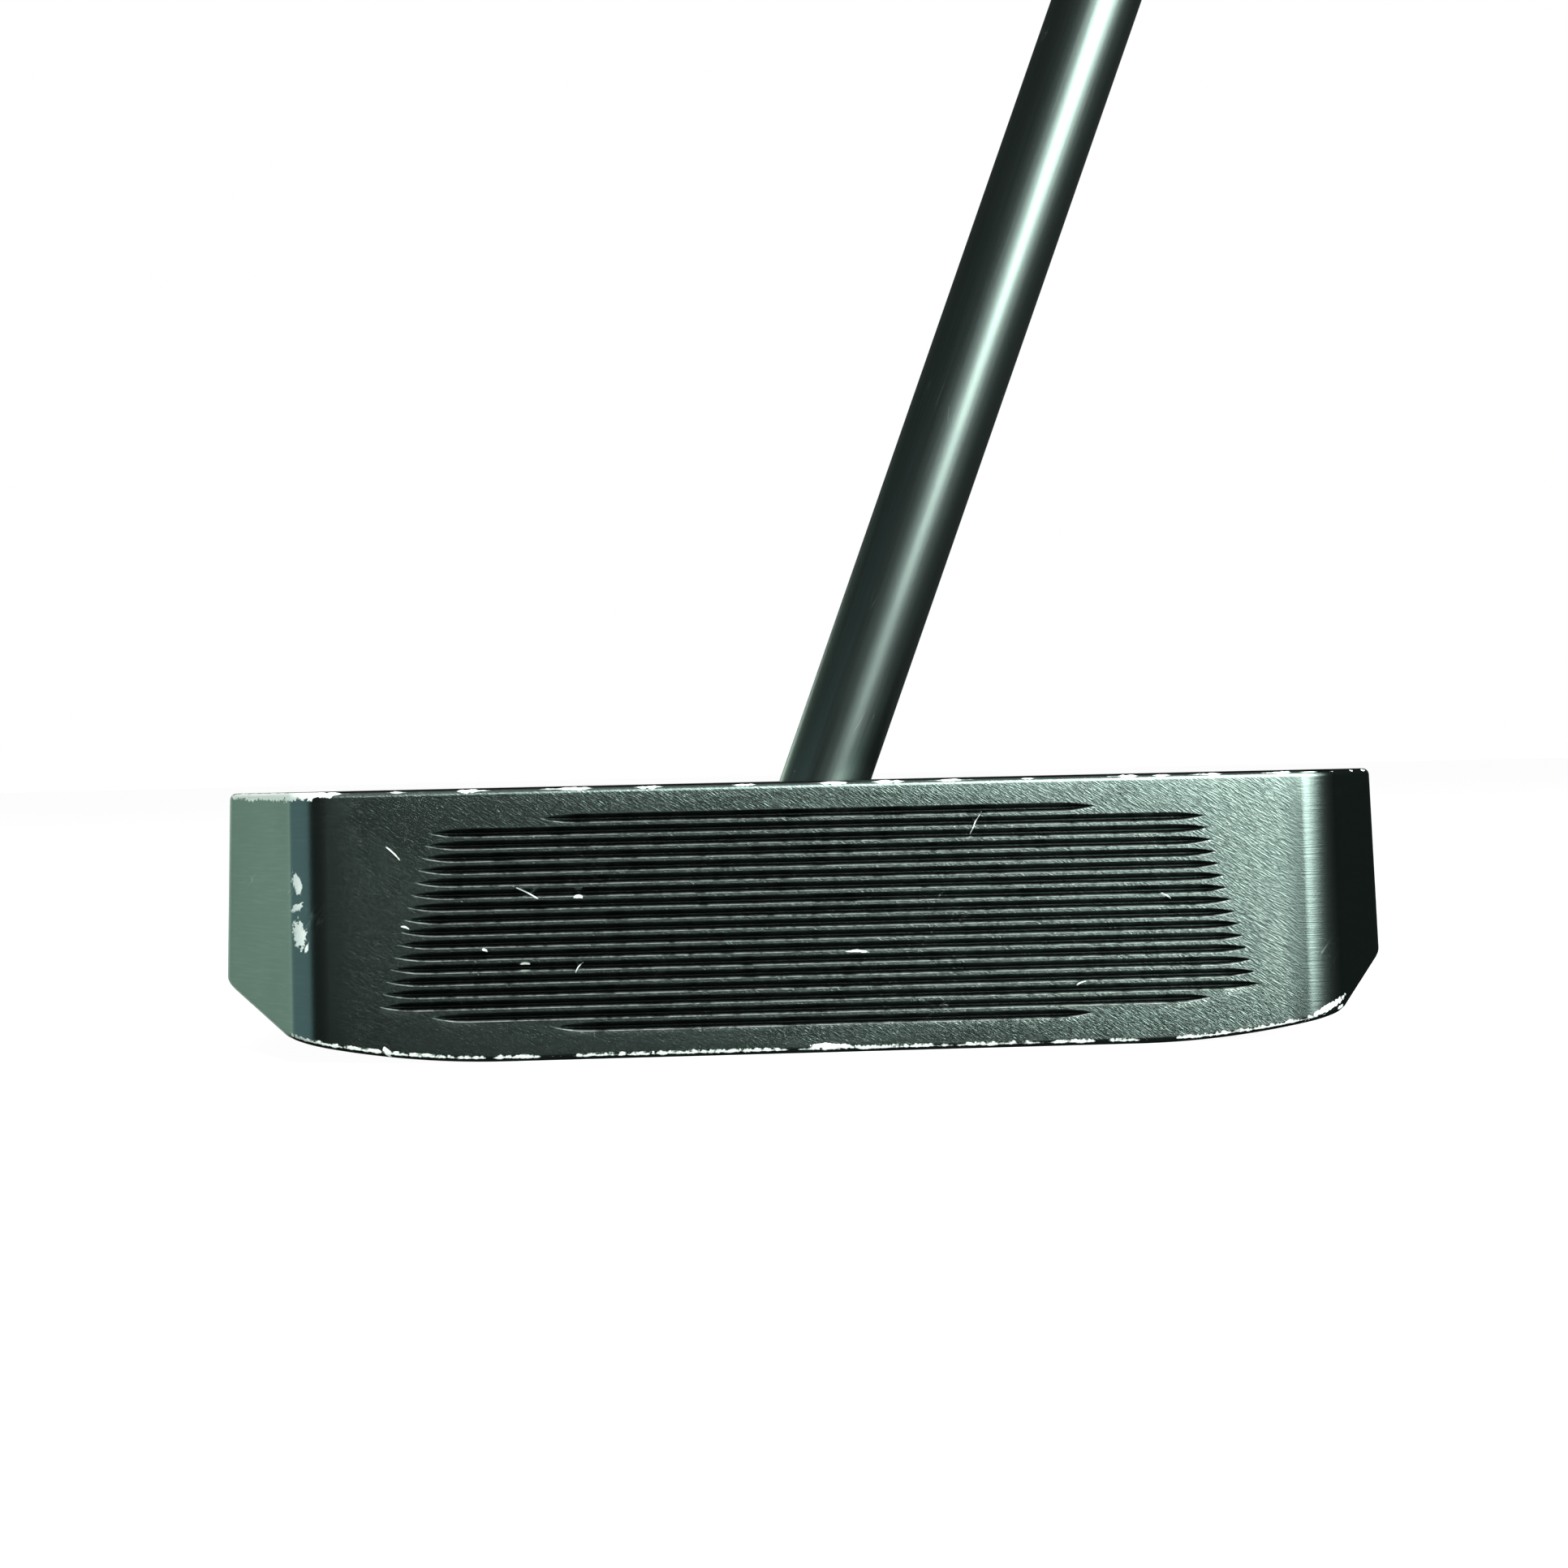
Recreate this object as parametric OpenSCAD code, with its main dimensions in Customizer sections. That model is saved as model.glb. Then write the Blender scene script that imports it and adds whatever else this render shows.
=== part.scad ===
/* [Head] */
// Height of the head, from the flat of the sole to the crown
head_h = 28.3; // [25:0.1:34]
// Width of the striking face between its two corners
face_w = 108.1; // [98:0.1:118]
// Widest width of the head, heel to toe, at the sole
head_w = 129.2; // [124:0.1:140]
// Depth of the head, from the leading edge to the tail
head_d = 88; // [80:0.5:106]
// Distance from the face back to the widest point
shoulder_d = 20; // [17:0.5:24]
// Width of the straight part of the tail
tail_w = 76; // [60:1:92]
// How much each side closes in between the widest point and the rear corner
side_taper = 3.6; // [1:0.1:6]
// Distance from the tail forward to the rear corners
tail_taper_d = 30; // [22:0.5:36]
// Loft of the striking face, in degrees
loft = 3; // [1:0.5:5]
// Draft of the side walls, in degrees
draft = 2; // [0:0.5:4]
// Radius of the face corners, seen from above
face_corner_r = 5; // [2:0.1:6]
// Radius at the widest point, seen from above
shoulder_r = 8; // [4:0.5:12]
// Radius of the rear corners, seen from above
rear_r = 24; // [12:1:28]
// Radius at the ends of the tail, seen from above
tail_r = 14; // [8:1:18]
// Small radius along the long edges of the face
edge_r = 0.7; // [0.4:0.1:1.2]

/* [Crown and deck] */
// Depth of the full-height bar behind the face
bar_d = 24; // [24:0.5:28]
// Length of the curved ramp from the bar down to the deck
ramp_d = 9; // [6:0.5:14]
// Height of the deck behind the bar
deck_h = 11.5; // [10:0.5:18]
// Width of the rails around the windows
rail_w = 13.5; // [12:0.5:17]
// Width of the spine between the windows
spine_w = 27; // [20:0.5:34]
// Corner radius of the windows
window_r = 5; // [3:0.5:8]
// Chamfer along the top edge of the tail
tail_bevel = 1.2; // [0.5:0.1:2]

/* [Sole] */
// Half-width of the flat of the sole
sole_flat = 33; // [26:0.5:40]
// Radius that lifts the sole towards heel and toe
sole_r = 93.5; // [80:0.5:140]
// Half-width at which the end chamfer of the sole begins
chamfer_x = 56; // [52:0.5:60]
// Slope of the end chamfer, in degrees
chamfer_a = 29.4; // [20:0.1:40]
// Length of the relief under the tail
tail_relief = 3; // [1:0.5:5]
// Height of the relief under the tail
relief_h = 2.4; // [1:0.1:3]

/* [Face grooves] */
// Number of milled grooves
groove_count = 18; // [10:1:18]
// Spacing of the grooves
groove_pitch = 1.27; // [1.2:0.01:1.4]
// Width of a groove at the face
groove_w = 1.0; // [0.6:0.05:1.1]
// Depth of a groove
groove_depth = 0.45; // [0.2:0.05:0.8]
// Width of the flat at the root of a groove
groove_root = 0.24; // [0.1:0.02:0.3]
// Height of the top groove above the sole
groove_top = 25; // [24:0.1:25.5]
// Half-length of the top groove
groove_top_half = 29.1; // [20:0.1:36]
// Half-length of the second groove
groove_half = 40.7; // [34:0.1:44]
// Growth in half-length from each groove to the one below it
groove_spread = 0.38; // [0:0.01:0.4]
// Half-length of the bottom groove
groove_bottom_half = 28.3; // [20:0.1:36]
// Length of the pointed run-out at each end
groove_runout = 3.7; // [2:0.1:5]

/* [Shaft] */
// Lie angle between the shaft and the sole, in degrees
lie = 69.5; // [66:0.5:76]
// Distance heelward from the centre to where the shaft axis crosses the crown
shaft_x = 1.7; // [0:0.1:6]
// Distance from the leading edge back to the shaft axis
shaft_y = 14.5; // [13:0.5:16]
// Outside diameter of the parallel tip
tip_d = 9.4; // [8.5:0.1:10]
// Outside diameter of the butt
butt_d = 14.7; // [13:0.1:16]
// Wall of the steel tube
tube_wall = 0.5; // [0.4:0.05:1]
// Length of the parallel tip
tip_l = 230; // [150:5:280]
// Number of steps between the tip and the butt
step_count = 9; // [4:1:12]
// Length of each step
step_l = 35; // [25:1:40]
// Length of the small cone at the start of a step
step_edge = 1.2; // [0.6:0.1:3]
// Length of the club along the shaft axis, from the sole plane to the cap
club_l = 864; // [780:1:940]
// Gap left at the tip above the sole, along the axis
tip_gap = 9; // [7:0.5:12]
// Thickness of the adhesive film around the tip
bond_t = 0.12; // [0.05:0.01:0.2]
// Length of the cork in the tip
cork_l = 12; // [8:1:16]

/* [Shaft block] */
// Width of the block, heel to toe
block_w = 25; // [24:0.5:30]
// Depth of the block, front to back
block_d = 15; // [14:0.5:16]
// Corner radius of the block
block_r = 3; // [2:0.5:5]
// Thickness of the floor under the block
floor_t = 5; // [4.5:0.5:6]
// Side clearance of the block in its pocket
block_gap = 0.05; // [0.02:0.01:0.1]

/* [Weights and screws] */
// Diameter of a sole weight
weight_d = 8; // [7:0.5:9]
// Thickness of a sole weight
weight_t = 5; // [4:0.5:6]
// Hexagon socket of a weight, across its flats
weight_hex = 4; // [3:0.5:5]
// Depth of a weight below the sole surface
weight_recess = 0.4; // [0.2:0.1:0.8]
// Thread diameter of the two block screws
screw_d = 4; // [3:0.5:5]
// Length of screw in the block
screw_bite = 8; // [6:0.5:9]
// Clearance around a weight or a screw in its hole
thread_gap = 0.05; // [0.02:0.01:0.1]
// Height of a block screw's head
screw_head_h = 2.2; // [1.6:0.1:2.6]
// Depth of the screw heads below the sole
screw_recess = 0.5; // [0.3:0.1:0.8]
// Distance of the front and inner weights behind the leading edge
front_weight_y = 12.5; // [10:0.5:16]
// Distance of the front weights from the centre
front_weight_x = 44; // [40:0.5:48]
// Distance of the inner weights from the centre
inner_weight_x = 27; // [23:0.5:31]

/* [Sight line] */
// Width of the painted sight line
sight_w = 1.4; // [0.8:0.1:2.5]
// Depth of its milled channel
sight_depth = 0.4; // [0.2:0.1:0.8]

/* [Grip] */
// Length of the grip from its lower end to the cap
grip_l = 267; // [220:1:320]
// Width of the grip at the butt, across the club
grip_w = 27; // [24:0.5:34]
// Depth of the grip at the butt, thumb flat to palm
grip_depth = 32; // [26:0.5:36]
// Diameter of the grip at its lower end
grip_low_d = 20.5; // [19:0.5:24]
// Thickness of the outer skin
skin_t = 1.3; // [0.8:0.1:2]
// Thickness of the grip tape
tape_t = 0.25; // [0.1:0.05:0.4]
// Thickness of the end cap
cap_t = 5; // [4:0.5:8]
// Length of the lower collar
collar_l = 7; // [5:0.5:12]
// Diameter of the vent hole in the cap
vent_d = 5; // [3:0.5:7]
// Diameter of the plug's disc
plug_d = 10; // [8:0.5:13]
// Thickness of the plug's disc
plug_t = 1.3; // [1:0.1:2]
// Spacing of the stitches along the seam
stitch_pitch = 6; // [4:0.5:10]
// Length of a stitch across the seam
stitch_l = 3.6; // [2:0.1:5]
// Thread diameter
thread_d = 0.7; // [0.4:0.05:1]
// Slant of the stitches, in degrees
stitch_a = 24; // [0:1:40]

/* [Hidden] */
$fn = 64;

face_y = -head_d / 2;                       // leading edge; the origin is mid-depth
tail_y = head_d / 2;
lean = 90 - lie;
foot_x = shaft_x - head_h * tan(lean);      // where the axis meets the sole plane
axis_y = face_y + shaft_y;
crown_s = head_h / cos(lean);               // distance along the axis to the crown
butt_s = club_l - cap_t;                    // top end of the shaft and the grip body
grip_s = club_l - grip_l;                   // lower end of the grip
bore_r = tip_d / 2 + bond_t;
window_y = face_y + bar_d + ramp_d;         // front edge of the windows, at the ramp's foot
sight_l = tail_y - window_y - rail_w / 3;
paint_gap = 0.05;                           // the paint dries a little below the deck
corner_steps = 8;
block_mid_x = foot_x + (floor_t + head_h) / 2 * tan(lean);

// ---- plane geometry -------------------------------------------------------------
function unit(v) = v / norm(v);
function turn(a) = (a % 360 + 540) % 360 - 180;

// Corner b of a polygon a-b-c, rounded to radius r
function corner(a, b, c, r, n = corner_steps) =
    r == 0 ? [b] :
    let (u = unit(a - b), v = unit(c - b), half = acos(u * v) / 2,
         m = b + unit(u + v) * r / sin(half),
         p = b + u * r / tan(half) - m, q = b + v * r / tan(half) - m,
         from = atan2(p[1], p[0]), sweep = turn(atan2(q[1], q[0]) - from))
    [for (i = [0:n]) m + r * [cos(from + sweep * i / n), sin(from + sweep * i / n)]];

function rounded(pts, radii) =
    let (n = len(pts))
    [for (i = [0:n - 1]) each corner(pts[(i + n - 1) % n], pts[i], pts[(i + 1) % n], radii[i])];

// Where the line through p along u meets the line through q along v
function meet(p, u, q, v) =
    let (d = u[0] * v[1] - u[1] * v[0], w = q - p)
    p + u * (w[0] * v[1] - w[1] * v[0]) / d;

function mirrored(pts) = [for (i = [len(pts) - 1:-1:0]) [-pts[i][0], pts[i][1]]];

// Outline of the head at the sole, heel half first, anticlockwise from above
heel_pts = [[face_w / 2, face_y], [head_w / 2, face_y + shoulder_d],
            [head_w / 2 - side_taper, tail_y - tail_taper_d], [tail_w / 2, tail_y]];
heel_radii = [face_corner_r, shoulder_r, rear_r, tail_r];
outline = rounded(concat(heel_pts, mirrored(heel_pts)),
                  concat(heel_radii, [for (i = [3:-1:0]) heel_radii[i]]));

// Heel-side window: the outline moved in by the rail, up to the spine and the bar
side_u = unit(heel_pts[2] - heel_pts[1]);
back_u = unit(heel_pts[3] - heel_pts[2]);
side_in = heel_pts[1] + rail_w * [-side_u[1], side_u[0]];
back_in = heel_pts[3] + rail_w * [-back_u[1], back_u[0]];
window_pts = [[spine_w / 2, window_y],
              meet(side_in, side_u, [0, window_y], [1, 0]),
              meet(side_in, side_u, back_in, back_u),
              meet(back_in, back_u, [0, tail_y - rail_w], [1, 0]),
              [spine_w / 2, tail_y - rail_w]];

// Rise of the sole above its flat, and its slope, at a distance x from the centre
function sole_arc(x) = x <= sole_flat ? 0 : sole_r - sqrt(pow(sole_r, 2) - pow(x - sole_flat, 2));
function sole_rise(x) =
    x <= chamfer_x ? sole_arc(x) : sole_arc(chamfer_x) + (x - chamfer_x) * tan(chamfer_a);
function sole_slope(x) = x <= sole_flat ? 0 : asin((x - sole_flat) / sole_r);

// ---- solids from rings of points -------------------------------------------------
// Closed solid through rings of equal length, each anticlockwise from above
module rings_solid(rings) {
    n = len(rings[0]);
    m = len(rings);
    polyhedron(
        points = [for (ring = rings) each ring],
        faces = concat(
            [[for (i = [0:n - 1]) i]],
            [for (k = [0:m - 2], i = [0:n - 1])
                [k * n + i, (k + 1) * n + i, (k + 1) * n + (i + 1) % n]],
            [for (k = [0:m - 2], i = [0:n - 1])
                [k * n + i, (k + 1) * n + (i + 1) % n, k * n + (i + 1) % n]],
            [[for (i = [n - 1:-1:0]) (m - 1) * n + i]]));
}

// ---- head -----------------------------------------------------------------------
// Outline at height z: side walls lean in by the draft, and the face is cut later
function outline_at(z) =
    [for (p = outline) [p[0] * (1 - z * tan(draft) / (head_w / 2)), p[1], z]];

module walls() {
    rings_solid([outline_at(-1), outline_at(head_h + 1)]);
}

// Front view: flat sole, raised and chamfered towards heel and toe
module front_profile() {
    reach = head_w / 2 + 2;
    arc_xs = [for (i = [0:10]) sole_flat + (chamfer_x - sole_flat) * i / 10];
    heel = concat([for (x = arc_xs) [x, sole_rise(x)]],
                  [[reach, sole_rise(reach)], [reach, head_h + 2]]);
    polygon(concat(heel, mirrored(heel)));
}

// Side view: lofted face, crown, curved ramp, deck and tail
module side_profile() {
    top_y = head_h * tan(loft);
    ramp = [for (i = [0:14]) [bar_d + ramp_d * i / 14,
                              deck_h + (head_h - deck_h) * (1 + cos(180 * i / 14)) / 2]];
    face = concat(corner([head_d, 0], [0, 0], [top_y, head_h], edge_r, 4),
                  corner([0, 0], [top_y, head_h], [bar_d, head_h], edge_r, 4));
    polygon(concat(face, ramp, [[head_d - tail_bevel, deck_h], [head_d, deck_h - tail_bevel],
                                [head_d, relief_h], [head_d - tail_relief, 0]]));
}

// Pointed outline of a groove: half-length to the points, half-length of the straight
// part, half-width, and depth behind the face
function groove_ring(point, straight, half_w, y) =
    [for (s = [[point, 0], [straight, half_w], [-straight, half_w],
               [-point, 0], [-straight, -half_w], [straight, -half_w]]) [s[0], y, s[1]]];

// One groove, as the cutter leaves it: a V with a narrow flat, pointed at both ends
module groove_cutter(half_l) {
    proud = 0.3;
    spread = (groove_w - groove_root) / 2 * proud / groove_depth;
    straight = half_l - groove_runout;
    top = groove_ring(half_l, straight, groove_w / 2 + spread, -proud);
    root = groove_ring(straight, straight - groove_w / 2, groove_root / 2, groove_depth);
    rings_solid([top, root]);
}

function groove_half_at(i) =
    i == 0 ? groove_top_half :
    i == groove_count - 1 ? groove_bottom_half :
    i == groove_count - 2 ? groove_half :
    groove_half + (i - 1) * groove_spread;

module face_grooves() {
    for (i = [0:groove_count - 1]) {
        z = groove_top - i * groove_pitch;
        translate([0, face_y + z * tan(loft), z]) rotate([-loft, 0, 0])
            groove_cutter(groove_half_at(i));
    }
}

module block_plan(grow) {
    w = block_w / 2 + grow;
    d = block_d / 2 + grow;
    polygon([for (p = rounded([[w, -d], [w, d], [-w, d], [-w, -d]], [for (i = [0:3]) block_r]))
             [p[0] + block_mid_x, p[1] + axis_y]]);
}

// Frame on the shaft axis: +Z up the shaft, -X towards the thumbs
module on_shaft(s = 0) {
    translate([foot_x, axis_y, 0]) rotate([0, lean, 0]) translate([0, 0, s]) children();
}

// The two block screws stand side by side, heelward of the bore
screw_wall = 1.4;                           // steel left between a screw and the block's side
screw_x = block_mid_x + block_w / 2 - screw_d / 2 - screw_wall - 0.6;
screw_ys = [for (s = [-1, 1]) axis_y + s * (block_d / 2 - screw_d / 2 - screw_wall)];
screw_head_r = screw_d * 0.875;

// Places of the sole weights on the heel side: [x, y]
rear_mid = (heel_pts[2] + heel_pts[3]) / 2 + rail_w / 2 * [-back_u[1], back_u[0]];
weight_at = [[front_weight_x, face_y + front_weight_y], [inner_weight_x, face_y + front_weight_y],
             rear_mid, [spine_w / 2 + 5, tail_y - rail_w / 2]];

// Frame on the sole at a weight: +Z into the head along the sole's normal
module on_sole(i, side) {
    p = weight_at[i];
    mirror([side < 0 ? 1 : 0, 0, 0])
        translate([p[0], p[1], sole_rise(p[0])]) rotate([0, -sole_slope(p[0]), 0]) children();
}

module head_body() {
    color([0.10, 0.12, 0.11])
    difference() {
        intersection() {
            walls();
            translate([0, tail_y + 1, 0]) rotate([90, 0, 0])
                linear_extrude(head_d + 2) front_profile();
            translate([-head_w, face_y, 0]) rotate([90, 0, 90])
                linear_extrude(2 * head_w) side_profile();
        }
        for (side = [0, 1]) mirror([side, 0, 0])
            translate([0, 0, -1]) linear_extrude(head_h + 2)
                polygon(rounded(window_pts, [for (i = [0:4]) window_r]));
        face_grooves();
        translate([0, 0, floor_t]) linear_extrude(head_h) block_plan(block_gap);
        for (y = screw_ys) {
            translate([screw_x, y, -1]) cylinder(r = screw_d / 2 + thread_gap, h = floor_t + 2);
            translate([screw_x, y, -1])
                cylinder(r = screw_head_r + 0.2, h = 1 + screw_recess + screw_head_h);
        }
        for (i = [0:3], side = [-1, 1]) on_sole(i, side)
            translate([0, 0, -2])
                cylinder(r = weight_d / 2 + thread_gap, h = 2 + weight_recess + weight_t);
        translate([-sight_w / 2, window_y, deck_h - sight_depth])
            cube([sight_w, sight_l, sight_depth + 1]);
    }
}

module shaft_block() {
    color([0.16, 0.17, 0.17])
    difference() {
        translate([0, 0, floor_t]) linear_extrude(head_h - floor_t) block_plan(0);
        on_shaft(tip_gap) cylinder(r = bore_r, h = crown_s);
        for (y = screw_ys) translate([screw_x, y, floor_t - 1])
            cylinder(r = screw_d / 2 + thread_gap, h = screw_bite + 1.5);
    }
}

module block_screws() {
    color([0.55, 0.56, 0.56])
    for (y = screw_ys) translate([screw_x, y, screw_recess]) {
        difference() {
            union() {
                cylinder(r = screw_head_r, h = screw_head_h);
                cylinder(r = screw_d / 2, h = floor_t - screw_recess + screw_bite);
            }
            translate([0, 0, -1]) cylinder(r = screw_d * 0.36, h = 2.4, $fn = 6);
        }
    }
}

module sole_weight(i, side) {
    color([0.62, 0.63, 0.62])
    on_sole(i, side) translate([0, 0, weight_recess]) difference() {
        cylinder(r = weight_d / 2, h = weight_t);
        translate([0, 0, -1]) cylinder(r = weight_hex / sqrt(3), h = weight_t / 2 + 1, $fn = 6);
    }
}

module sight_line() {
    color("white")
    translate([-sight_w / 2, window_y, deck_h - sight_depth])
        cube([sight_w, sight_l, sight_depth - paint_gap]);
}

// ---- shaft ----------------------------------------------------------------------
shaft_l = butt_s - tip_gap;
// Outside radius of the tube in the stretch that follows step i
function step_r(i) = (tip_d + (butt_d - tip_d) * i / step_count) / 2;
outer_profile = [for (i = [0:step_count])
    each [[step_r(i), i == 0 ? 0 : tip_l + (i - 1) * step_l + step_edge],
          [step_r(i), i == step_count ? shaft_l : tip_l + i * step_l]]];

module shaft() {
    n = len(outer_profile) - 1;
    inner = [for (i = [n:-1:0]) [outer_profile[i][0] - tube_wall, outer_profile[i][1]]];
    color([0.13, 0.15, 0.14])
    on_shaft(tip_gap) rotate_extrude() polygon(concat(outer_profile, inner));
}

module tip_cork() {
    color([0.72, 0.55, 0.36])
    on_shaft(tip_gap + 1) cylinder(r = tip_d / 2 - tube_wall - 0.02, h = cork_l);
}

module shaft_bond() {
    color([0.75, 0.72, 0.55])
    on_shaft(tip_gap) difference() {
        cylinder(r = bore_r, h = crown_s - tip_gap - bore_r * tan(lean) - 0.4);
        translate([0, 0, -1]) cylinder(r = tip_d / 2, h = crown_s);
    }
}

// ---- grip -----------------------------------------------------------------------
skin_l = butt_s - grip_s - collar_l;        // length of the core and the skin
grip_sides = 32;
grip_rings = 14;

// Outline of the grip at a share t of its length, moved in by t_in: round at the
// lower end, and at the butt deep on the palm side with a flat for the thumbs
function grip_ring(t, t_in, z) =
    let (e = t * t * (3 - 2 * t),
         low = grip_low_d / 2,
         half_w = low + (grip_w / 2 - low) * e - t_in,
         palm = low + (grip_depth * 0.56 - low) * e - t_in,
         flat = low + (grip_depth * 0.44 - low) * e - t_in,
         cut = flat * (1 - 0.12 * e))
    [for (i = [0:grip_sides - 1])
        let (a = 360 * i / grip_sides, x = cos(a) * (cos(a) > 0 ? palm : flat))
        [max(x, -cut), half_w * sin(a), z]];

module grip_solid(t_in, l = skin_l) {
    rings_solid([for (k = [0:grip_rings])
        grip_ring(k / grip_rings, t_in, l * k / grip_rings)]);
}

module grip_tape() {
    color([0.86, 0.84, 0.76])
    on_shaft(grip_s + 1) difference() {
        cylinder(r = butt_d / 2 + tape_t, h = butt_s - grip_s - 1);
        translate([0, 0, -1]) cylinder(r = butt_d / 2, h = grip_l + 2);
    }
}

module grip_core() {
    color([0.25, 0.25, 0.25])
    on_shaft(grip_s + collar_l) difference() {
        grip_solid(skin_t);
        translate([0, 0, -1]) cylinder(r = butt_d / 2 + tape_t, h = grip_l + 2);
    }
}

module grip_skin() {
    color([0.09, 0.10, 0.10])
    on_shaft(grip_s + collar_l) difference() {
        grip_solid(0);
        translate([0, 0, -0.001 * skin_l]) grip_solid(skin_t, skin_l * 1.002);
    }
}

// Palm-side height of the grip at a share t of its length
function palm_at(t) = grip_ring(t, 0, 0)[0][0];

module seam_stitching() {
    margin = 8;
    color([0.55, 0.57, 0.56])
    on_shaft(grip_s + collar_l)
        for (z = [margin:stitch_pitch:skin_l - margin])
            translate([palm_at(z / skin_l) + thread_d * 0.3, 0, z]) rotate([stitch_a - 90, 0, 0])
                cylinder(r = thread_d / 2, h = stitch_l, center = true, $fn = 16);
}

module grip_cap() {
    edge = [[0, 0], [0.68, 0], [0.9, 0.7], [1, 1.8]];
    color([0.07, 0.07, 0.07])
    on_shaft(butt_s) difference() {
        rings_solid([for (e = edge) grip_ring(1, e[1], cap_t * e[0])]);
        translate([0, 0, -1]) cylinder(d = vent_d, h = cap_t + 2);
        translate([0, 0, cap_t - plug_t - 0.2]) cylinder(d = plug_d, h = plug_t + 1);
    }
}

module cap_plug() {
    color([0.45, 0.46, 0.46])
    on_shaft(butt_s) {
        cylinder(d = vent_d - 0.1, h = cap_t - plug_t);
        translate([0, 0, cap_t - plug_t - 0.1]) cylinder(d = plug_d - 0.2, h = plug_t);
    }
}

module grip_collar() {
    r = grip_low_d / 2;
    wall = butt_d / 2 + tape_t;
    color([0.20, 0.21, 0.21])
    on_shaft(grip_s) rotate_extrude()
        polygon([[wall, 0], [r - 1.6, 0], [r - 0.6, 0.9], [r, 2.4], [r, collar_l], [wall, collar_l]]);
}

head_body();
shaft_block();
block_screws();
sole_weight(0, -1);  // toe_front_weight
sole_weight(1, -1);  // toe_inner_weight
sole_weight(2, -1);  // toe_rear_weight
sole_weight(3, -1);  // toe_tail_weight
sole_weight(0, 1);  // heel_front_weight
sole_weight(1, 1);  // heel_inner_weight
sole_weight(2, 1);  // heel_rear_weight
sole_weight(3, 1);  // heel_tail_weight
sight_line();
shaft();
tip_cork();
shaft_bond();
grip_tape();
grip_core();
grip_skin();
seam_stitching();
grip_cap();
cap_plug();
grip_collar();
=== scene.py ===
import math

import bpy
from mathutils import Euler, Matrix, Vector
from mathutils.geometry import delaunay_2d_cdt


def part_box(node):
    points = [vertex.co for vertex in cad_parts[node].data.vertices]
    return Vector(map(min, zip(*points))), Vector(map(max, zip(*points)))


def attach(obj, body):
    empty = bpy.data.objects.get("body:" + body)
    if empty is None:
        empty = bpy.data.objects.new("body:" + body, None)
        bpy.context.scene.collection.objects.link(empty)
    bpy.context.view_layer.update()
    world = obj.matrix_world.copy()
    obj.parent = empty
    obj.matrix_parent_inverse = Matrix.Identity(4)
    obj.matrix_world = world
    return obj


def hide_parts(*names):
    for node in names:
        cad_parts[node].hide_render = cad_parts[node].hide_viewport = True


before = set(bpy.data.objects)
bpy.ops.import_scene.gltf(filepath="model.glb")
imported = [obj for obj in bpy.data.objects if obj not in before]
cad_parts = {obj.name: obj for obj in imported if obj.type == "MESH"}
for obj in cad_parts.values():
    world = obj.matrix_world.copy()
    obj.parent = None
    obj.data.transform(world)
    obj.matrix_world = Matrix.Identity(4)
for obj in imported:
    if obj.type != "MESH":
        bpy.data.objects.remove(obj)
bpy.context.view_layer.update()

# ---- Viewpoint -------------------------------------------------------------------
# The club is looked at from in front of the face, a little to the toe side, with the
# lens level with the crown. The head fills the lower half of the square frame.
head_low, head_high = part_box("head_body")
TOWARD_TOE, AHEAD_OF_FACE, ABOVE_CROWN = 0.0218, 0.2998, 0.00096
YAW, PITCH, ROLL = (math.radians(angle) for angle in (-3.46, -0.225, -1.285))

camera = bpy.data.objects.new("camera", bpy.data.cameras.new("camera"))
bpy.context.scene.collection.objects.link(camera)
bpy.context.scene.camera = camera
camera.data.sensor_width = 36
camera.data.lens = 66.37
camera.location = (-TOWARD_TOE, -head_high.y - AHEAD_OF_FACE, head_high.z + ABOVE_CROWN)
camera.rotation_mode = "QUATERNION"
camera.rotation_quaternion = (
    Euler((0, 0, YAW)).to_quaternion()
    @ Euler((math.pi / 2 + PITCH, 0, 0)).to_quaternion()
    @ Euler((0, 0, ROLL)).to_quaternion()
)

# ---- Studio ----------------------------------------------------------------------
# A white paper sweep under the club, a large softbox in front on the heel side, cards
# behind and beside the toe, and soft light from above. Behind the heel it is left dark.


def feed(tree, node, sockets):
    """Gives a node's inputs their values. A value may be another node's output."""
    for name, value in sockets.items():
        if isinstance(value, bpy.types.NodeSocket):
            tree.links.new(value, node.inputs[name])
        else:
            node.inputs[name].default_value = value


def put(tree, kind, sockets=None, **settings):
    """Puts a shader node in a tree, with its settings and its inputs."""
    node = tree.nodes.new("ShaderNode" + kind)
    for name, value in settings.items():
        setattr(node, name, value)
    feed(tree, node, sockets or {})
    return node


paper = bpy.data.materials.new("white_paper")
paper.use_nodes = True
sweep = paper.node_tree
sweep.nodes.clear()
fibres = put(sweep, "TexNoise", {"Scale": 900.0, "Detail": 4.0})
tone = put(sweep, "ValToRGB", {"Fac": fibres.outputs["Fac"]})
tone.color_ramp.elements[0].color = (0.15, 0.15, 0.15, 1)
tone.color_ramp.elements[1].color = (0.19, 0.19, 0.19, 1)
matt = put(sweep, "BsdfDiffuse", {"Color": tone.outputs["Color"]})
glow = put(sweep, "Emission", {"Color": (1, 1, 1, 1), "Strength": 0.97})
both = put(sweep, "AddShader", {0: matt.outputs["BSDF"], 1: glow.outputs["Emission"]})
seen = put(sweep, "LightPath")
shown = put(sweep, "MixShader", {"Fac": seen.outputs["Is Camera Ray"], 1: matt.outputs["BSDF"],
                                 2: both.outputs["Shader"]})
put(sweep, "OutputMaterial", {"Surface": shown.outputs["Shader"]})

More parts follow.
